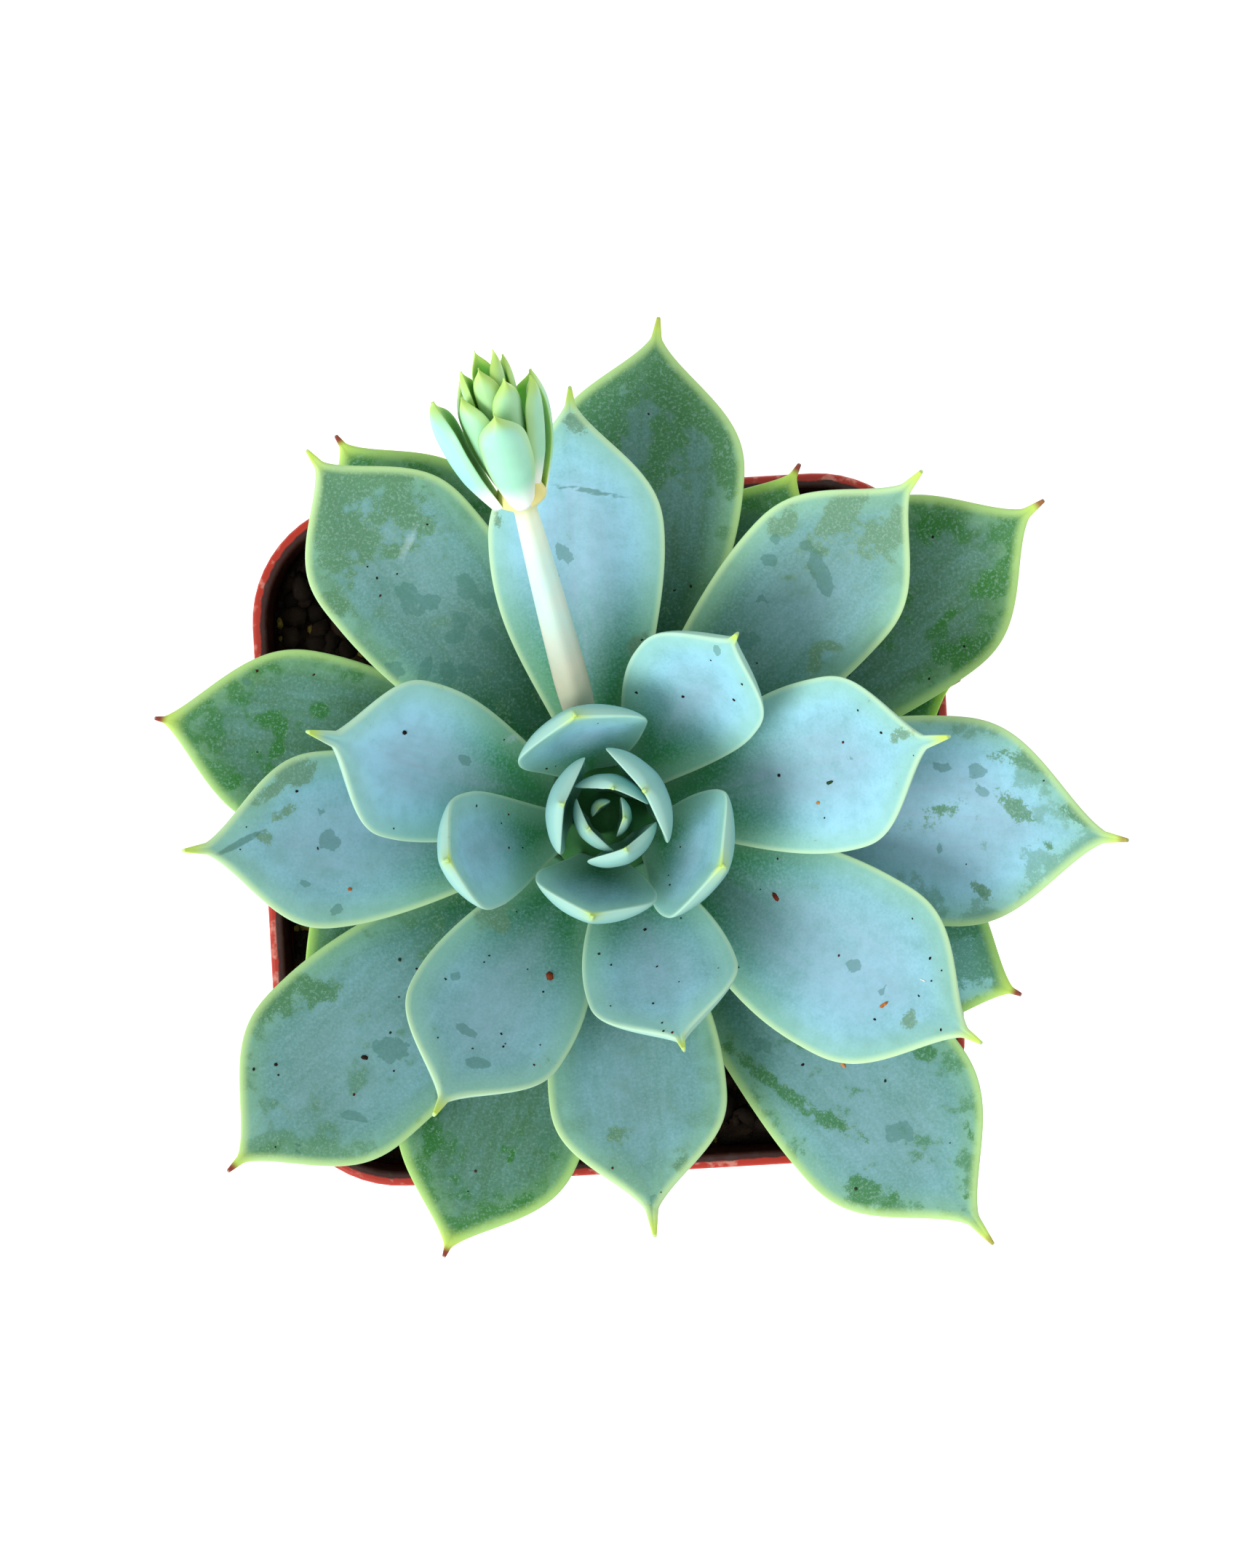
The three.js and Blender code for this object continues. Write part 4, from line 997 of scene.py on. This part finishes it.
def stalk_surface(stalk, plant):
    """A tube along the centre line that goes on through the head: it swells by a
    quarter sine, tapers by the square of the distance and is faintly ribbed."""
    rows, columns = STALK_ROWS + HEAD_ROWS, STALK_COLUMNS
    heading = head_frame(stalk)[0]
    share = np.linspace(-0.03, 1, STALK_ROWS)
    low = stalk_path(stalk, plant, share)
    rise = np.linspace(0, 1, HEAD_ROWS + 1)[1:]
    spine = np.vstack([low, low[-1] + rise[:, None] * stalk.pitch * (stalk.bracts - 1) * heading])
    swell = np.sin(np.pi / 2 * np.clip(share / 0.35, 0, 1))
    radius = mix(stalk.root_radius, mix(stalk.radius, stalk.neck_radius, share ** 2), swell)
    head = mix(stalk.neck_radius, BRACT_RANGE["ring"][0] + 0.2, ease(rise * 5)) * (1 - 0.78 * ease(rise))
    radius = np.concatenate([radius, head])[:, None]
    tangent = np.gradient(spine, axis=0)
    tangent = tangent / np.linalg.norm(tangent, axis=1)[:, None]
    across = np.cross(UP, tangent)
    across = across / np.linalg.norm(across, axis=1)[:, None]
    angle = 2 * np.pi * np.arange(columns) / columns
    rib = np.sin(5 * angle + 0.4)[None, :] * np.ones((rows, 1))
    rings = turned_tube(spine, radius * (1 + 0.02 * rib), across, np.cross(tangent, across), columns)
    along = np.repeat(np.linspace(0, 1.2, rows)[:, None], columns, 1)
    values = {"along": close_values(along), "rib": close_values(0.5 + 0.5 * rib)}
    return close_rings(rings), tube_faces(rows, columns), values


class SUCCULENT_OT_stalk(bpy.types.Operator):
    """Grow the flower stalk"""
    bl_idname = "succulent.stalk"
    bl_label = "Flower stalk"

    def execute(self, context):
        stalk, plant = context.scene.succulent_stalk, context.scene.succulent_plant
        piece = make_mesh("fleshy_stalk", *stalk_surface(stalk, plant), stalk_material(stalk))
        hand_over(piece, "stalk", "flower_stalk")
        return {"FINISHED"}


class SUCCULENT_OT_bracts(bpy.types.Operator):
    """Grow the head of bracts at the end of the stalk"""
    bl_idname = "succulent.bracts"
    bl_label = "Bracts"

    def execute(self, context):
        stalk, plant = context.scene.succulent_stalk, context.scene.succulent_plant
        heading, across, over = head_frame(stalk)
        tip = stalk_path(stalk, plant, [1.0])[0]
        material = bract_material(stalk)
        for index in range(stalk.bracts):
            share = (index / (stalk.bracts - 1)) ** 0.7
            angle = math.radians(-plant.turn * index)
            outward = math.cos(angle) * across + math.sin(angle) * over
            blade = {key: mix(*ends, share) for key, ends in BRACT_RANGE.items()}
            lift = stalk.pitch * index + (FIRST_BRACT_LIFT if index == 0 else 0)
            foot = tip + lift * heading + blade.pop("ring") * outward
            opens = stalk.opens if index == 0 else 0
            blade.update(rise=blade["rise"] - opens, curl=blade["curl"] - opens, bow=0, widest=0.55,
                         shoulder=2.2, point=0.9, cup=0.4, foot=0.5)
            rings, values, _, wide = blade_surface(foot, outward, heading, blade, BRACT_ROWS,
                                                   BRACT_COLUMNS, BRACT_SEED + index)
            values["tone"] = np.full(wide.shape, 1 - 0.75 * share)
            closed = {key: close_values(value) for key, value in values.items()}
            piece = make_mesh(f"bract_blade_{index + 1:02d}", close_rings(rings),
                              tube_faces(BRACT_ROWS, BRACT_COLUMNS), closed, material)
            hand_over(piece, "bract", f"bract_{index + 1:02d}")
        return {"FINISHED"}


def drain_cutters(pot):
    """Round posts through the floor: four large on the diagonals and four small on the
    axes, each two rings of a circle."""
    parts, faces = [], []
    spread = 0.55 * pot.base_width / 2
    for i in range(8):
        share, radius = DRAIN_HOLES[i % 2]
        turn = math.radians(45 * i + 45)
        reach = spread * share
        middle = np.array([reach * math.cos(turn), reach * math.sin(turn), 0])
        spine = middle + np.array([[0, 0, -2.0], [0, 0, pot.floor + 0.9]])
        faces += tube_faces(2, POST_COLUMNS, sum(len(part) for part in parts))
        parts.append(close_rings(upright_tube(spine, np.full((2, 1), radius), POST_COLUMNS)))
    return np.vstack(parts), faces


# mask for the painted shade on the pot's inside
def inside_share(pot, spots):
    """One for points of the pot's inside, eased to nought at the middle of its lip or
    wall, from the distance to the rounded square of their height; nought underneath."""
    half, corner = wall_at(pot, spots[:, 2])
    band = spots[:, 2] > pot.height - pot.band_height
    half = np.where(band, pot.rim_width / 2, half)
    corner = np.where(band, pot.rim_corner, corner)
    over = np.maximum(np.abs(spots[:, :2]) - (half - corner)[:, None], 0)
    inset = np.minimum(corner - np.hypot(over[:, 0], over[:, 1]), half - np.abs(spots[:, :2]).max(1))
    middle = np.where(band, 0.62 * pot.rim, 0.5 * pot.wall)
    return ease((inset - middle) / 0.5 + 0.5) * (spots[:, 2] > 0.5 * pot.floor)


class SUCCULENT_OT_pot(bpy.types.Operator):
    """Mould the square nursery pot"""
    bl_idname = "succulent.pot"
    bl_label = "Pot"

    def execute(self, context):
        pot = context.scene.succulent_pot
        shell = make_mesh("pot_shell", *pot_surface(pot))
        posts = make_mesh("drain_posts", *drain_cutters(pot))
        cut = shell.modifiers.new("drain_holes", "BOOLEAN")
        cut.operation, cut.object, cut.solver = "DIFFERENCE", posts, "EXACT"
        depsgraph = context.evaluated_depsgraph_get()
        mesh = bpy.data.meshes.new_from_object(shell.evaluated_get(depsgraph))
        mesh.name = "nursery_pot"
        mesh.materials.clear()
        mesh.materials.append(pot_material(pot))
        spots = np.empty(len(mesh.vertices) * 3, np.float32)
        mesh.vertices.foreach_get("co", spots)
        # inside of the pot, where its colour is painted dark as shade
        inner = mesh.attributes.new("inner", "FLOAT", "POINT")
        inner.data.foreach_set("value", inside_share(pot, spots.reshape(-1, 3) / MM).astype(np.float32))
        piece = bpy.data.objects.new("nursery_pot", mesh)
        context.scene.collection.objects.link(piece)
        for spare in (shell, posts):
            bpy.data.objects.remove(spare)
        hand_over(piece, "pot_plastic", "pot")
        return {"FINISHED"}


def wall_at(pot, z):
    """Half width and corner radius of the outer wall, straight lines in the height."""
    share = z / pot.height
    half = mix(pot.base_width / 2, pot.rim_width / 2 - pot.band_step, share)
    return half, mix(pot.base_corner, pot.rim_corner - pot.band_step, share)


def pot_surface(pot):
    """The wall's profile, carried round a square with rounded corners: up the outside,
    over the lip and down the inside, each ring inset from the tapering wall or rim."""
    band = pot.height - pot.band_height
    top, e = pot.height, pot.edge
    marks = []

    def wall(z, inset):
        half, corner = wall_at(pot, z)
        marks.append((half - inset, corner - inset, z))

    def rim(z, inset):
        marks.append((pot.rim_width / 2 - inset, pot.rim_corner - inset, z))

    wall(0, e)
    wall(0.18 * e, 0.45 * e)
    wall(0.5 * e, 0.13 * e)
    wall(e, 0)
    for z in np.linspace(2, band - e, WALL_ROWS):
        wall(z, 0)
    rim(band - 0.3 * e, 1.4 * e)
    rim(band, e)
    rim(band + 0.3 * e, 0.6 * e)
    rim(band + e, 0.5 * e)
    rim(top - 1.4 * e, 0.05 * e)
    for turn in np.linspace(0, 90, LIP_ROWS):
        rim(top - e + e * math.sin(math.radians(turn)), e - e * math.cos(math.radians(turn)))
    for turn in np.linspace(90, 0, LIP_ROWS):
        rim(top - e + e * math.sin(math.radians(turn)), pot.rim - e + e * math.cos(math.radians(turn)))
    rim(band + e, pot.rim + 0.5 * e)
    rim(band, pot.rim + 0.9 * e)
    for z in np.linspace(band - pot.band_step, pot.floor + e, WALL_ROWS):
        wall(z, pot.wall)
    wall(pot.floor + 0.3 * e, pot.wall + 0.3 * e)
    wall(pot.floor, pot.wall + e)
    rings = np.array([square_ring(half, corner, z, CORNER_POINTS) for half, corner, z in marks])
    # a thin wall is never quite flat: it sways by fractions of a millimetre
    angle = np.arctan2(rings[..., 1], rings[..., 0])
    sway = 0.12 * np.sin(3 * angle + 0.6) + 0.08 * np.sin(5 * angle + rings[..., 2] / 23)
    sway = sway * ease(rings[..., 2] / 40) * ease((rings[..., 2].max() + 30 - rings[..., 2]) / 30)
    rings[..., 0] -= np.cos(angle) * np.abs(sway)
    rings[..., 1] -= np.sin(angle) * np.abs(sway)
    return close_rings(rings), tube_faces(*rings.shape[:2])


class SUCCULENT_OT_stage(bpy.types.Operator):
    """Set the floor, the light and the camera"""
    bl_idname = "succulent.stage"
    bl_label = "Stage"

    def execute(self, context):
        scene = context.scene
        stage = scene.succulent_stage
        make_mesh("studio_floor", *floor_surface(), None, floor_material())
        world = bpy.data.worlds.new("studio_dome")
        world.use_nodes = True
        dome = world.node_tree.nodes["Background"].inputs
        dome["Color"].default_value = (1, 1, 1, 1)
        dome["Strength"].default_value = stage.dome
        scene.world = world
        lamp = bpy.data.lights.new("soft_key", "AREA")
        lamp.shape, lamp.size, lamp.energy = "DISK", KEY_WIDTH, stage.key
        key = bpy.data.objects.new("soft_key", lamp)
        x, y, z = key.location = KEY_PLACE
        key.rotation_euler = (math.atan2(math.hypot(x, y), z), 0, math.atan2(x, -y))
        lens = bpy.data.cameras.new("camera")
        lens.lens, lens.sensor_width, lens.clip_start = stage.lens, 36, 0.01
        camera = bpy.data.objects.new("camera", lens)
        camera.location = (*CAMERA_PLACE, stage.camera_height)
        camera.rotation_euler = (0, 0, math.radians(stage.roll))
        for item in (key, camera):
            scene.collection.objects.link(item)
        scene.camera = camera
        scene.view_settings.view_transform = "Standard"
        return {"FINISHED"}


def floor_surface():
    """A flat square grid at height nought."""
    line = np.linspace(-FLOOR_HALF, FLOOR_HALF, 3)
    x, y = np.meshgrid(line, line, indexing="ij")
    points = np.stack([x.ravel(), y.ravel(), np.zeros(x.size)], -1)
    i, j = np.meshgrid(np.arange(2), np.arange(2), indexing="ij")
    quads = np.stack([i * 3 + j, (i + 1) * 3 + j, (i + 1) * 3 + j + 1, i * 3 + j + 1], -1)
    return points, quads.reshape(-1, 4).tolist()


SETTINGS = {
    "succulent_pot": PotSettings,
    "succulent_soil": SoilSettings,
    "succulent_plant": PlantSettings,
    "succulent_stalk": StalkSettings,
    "succulent_stage": StageSettings,
}
OPERATORS = (SUCCULENT_OT_pot, SUCCULENT_OT_soil, SUCCULENT_OT_stem, SUCCULENT_OT_leaves,
             SUCCULENT_OT_litter, SUCCULENT_OT_stalk, SUCCULENT_OT_bracts, SUCCULENT_OT_stage)


class SUCCULENT_PT_panel(bpy.types.Panel):
    """Buttons and settings for each piece"""
    bl_idname = "SUCCULENT_PT_panel"
    bl_label = "Potted Succulent"
    bl_space_type = "VIEW_3D"
    bl_region_type = "UI"
    bl_category = "Succulent"

    def draw(self, context):
        for operator in OPERATORS:
            self.layout.operator(operator.bl_idname)
        for key, group in SETTINGS.items():
            box = self.layout.box()
            box.label(text=group.__doc__)
            settings = getattr(context.scene, key)
            for name in group.__annotations__:
                box.prop(settings, name)


CLASSES = (*SETTINGS.values(), *OPERATORS, SUCCULENT_PT_panel)


def register():
    for item in CLASSES:
        bpy.utils.register_class(item)
    for key, group in SETTINGS.items():
        setattr(bpy.types.Scene, key, PointerProperty(type=group))


def unregister():
    for key in SETTINGS:
        delattr(bpy.types.Scene, key)
    for item in reversed(CLASSES):
        bpy.utils.unregister_class(item)


def main():
    register()
    for operator in OPERATORS:
        group, name = operator.bl_idname.split(".")
        getattr(getattr(bpy.ops, group), name)()


if __name__ == "__main__":
    main()
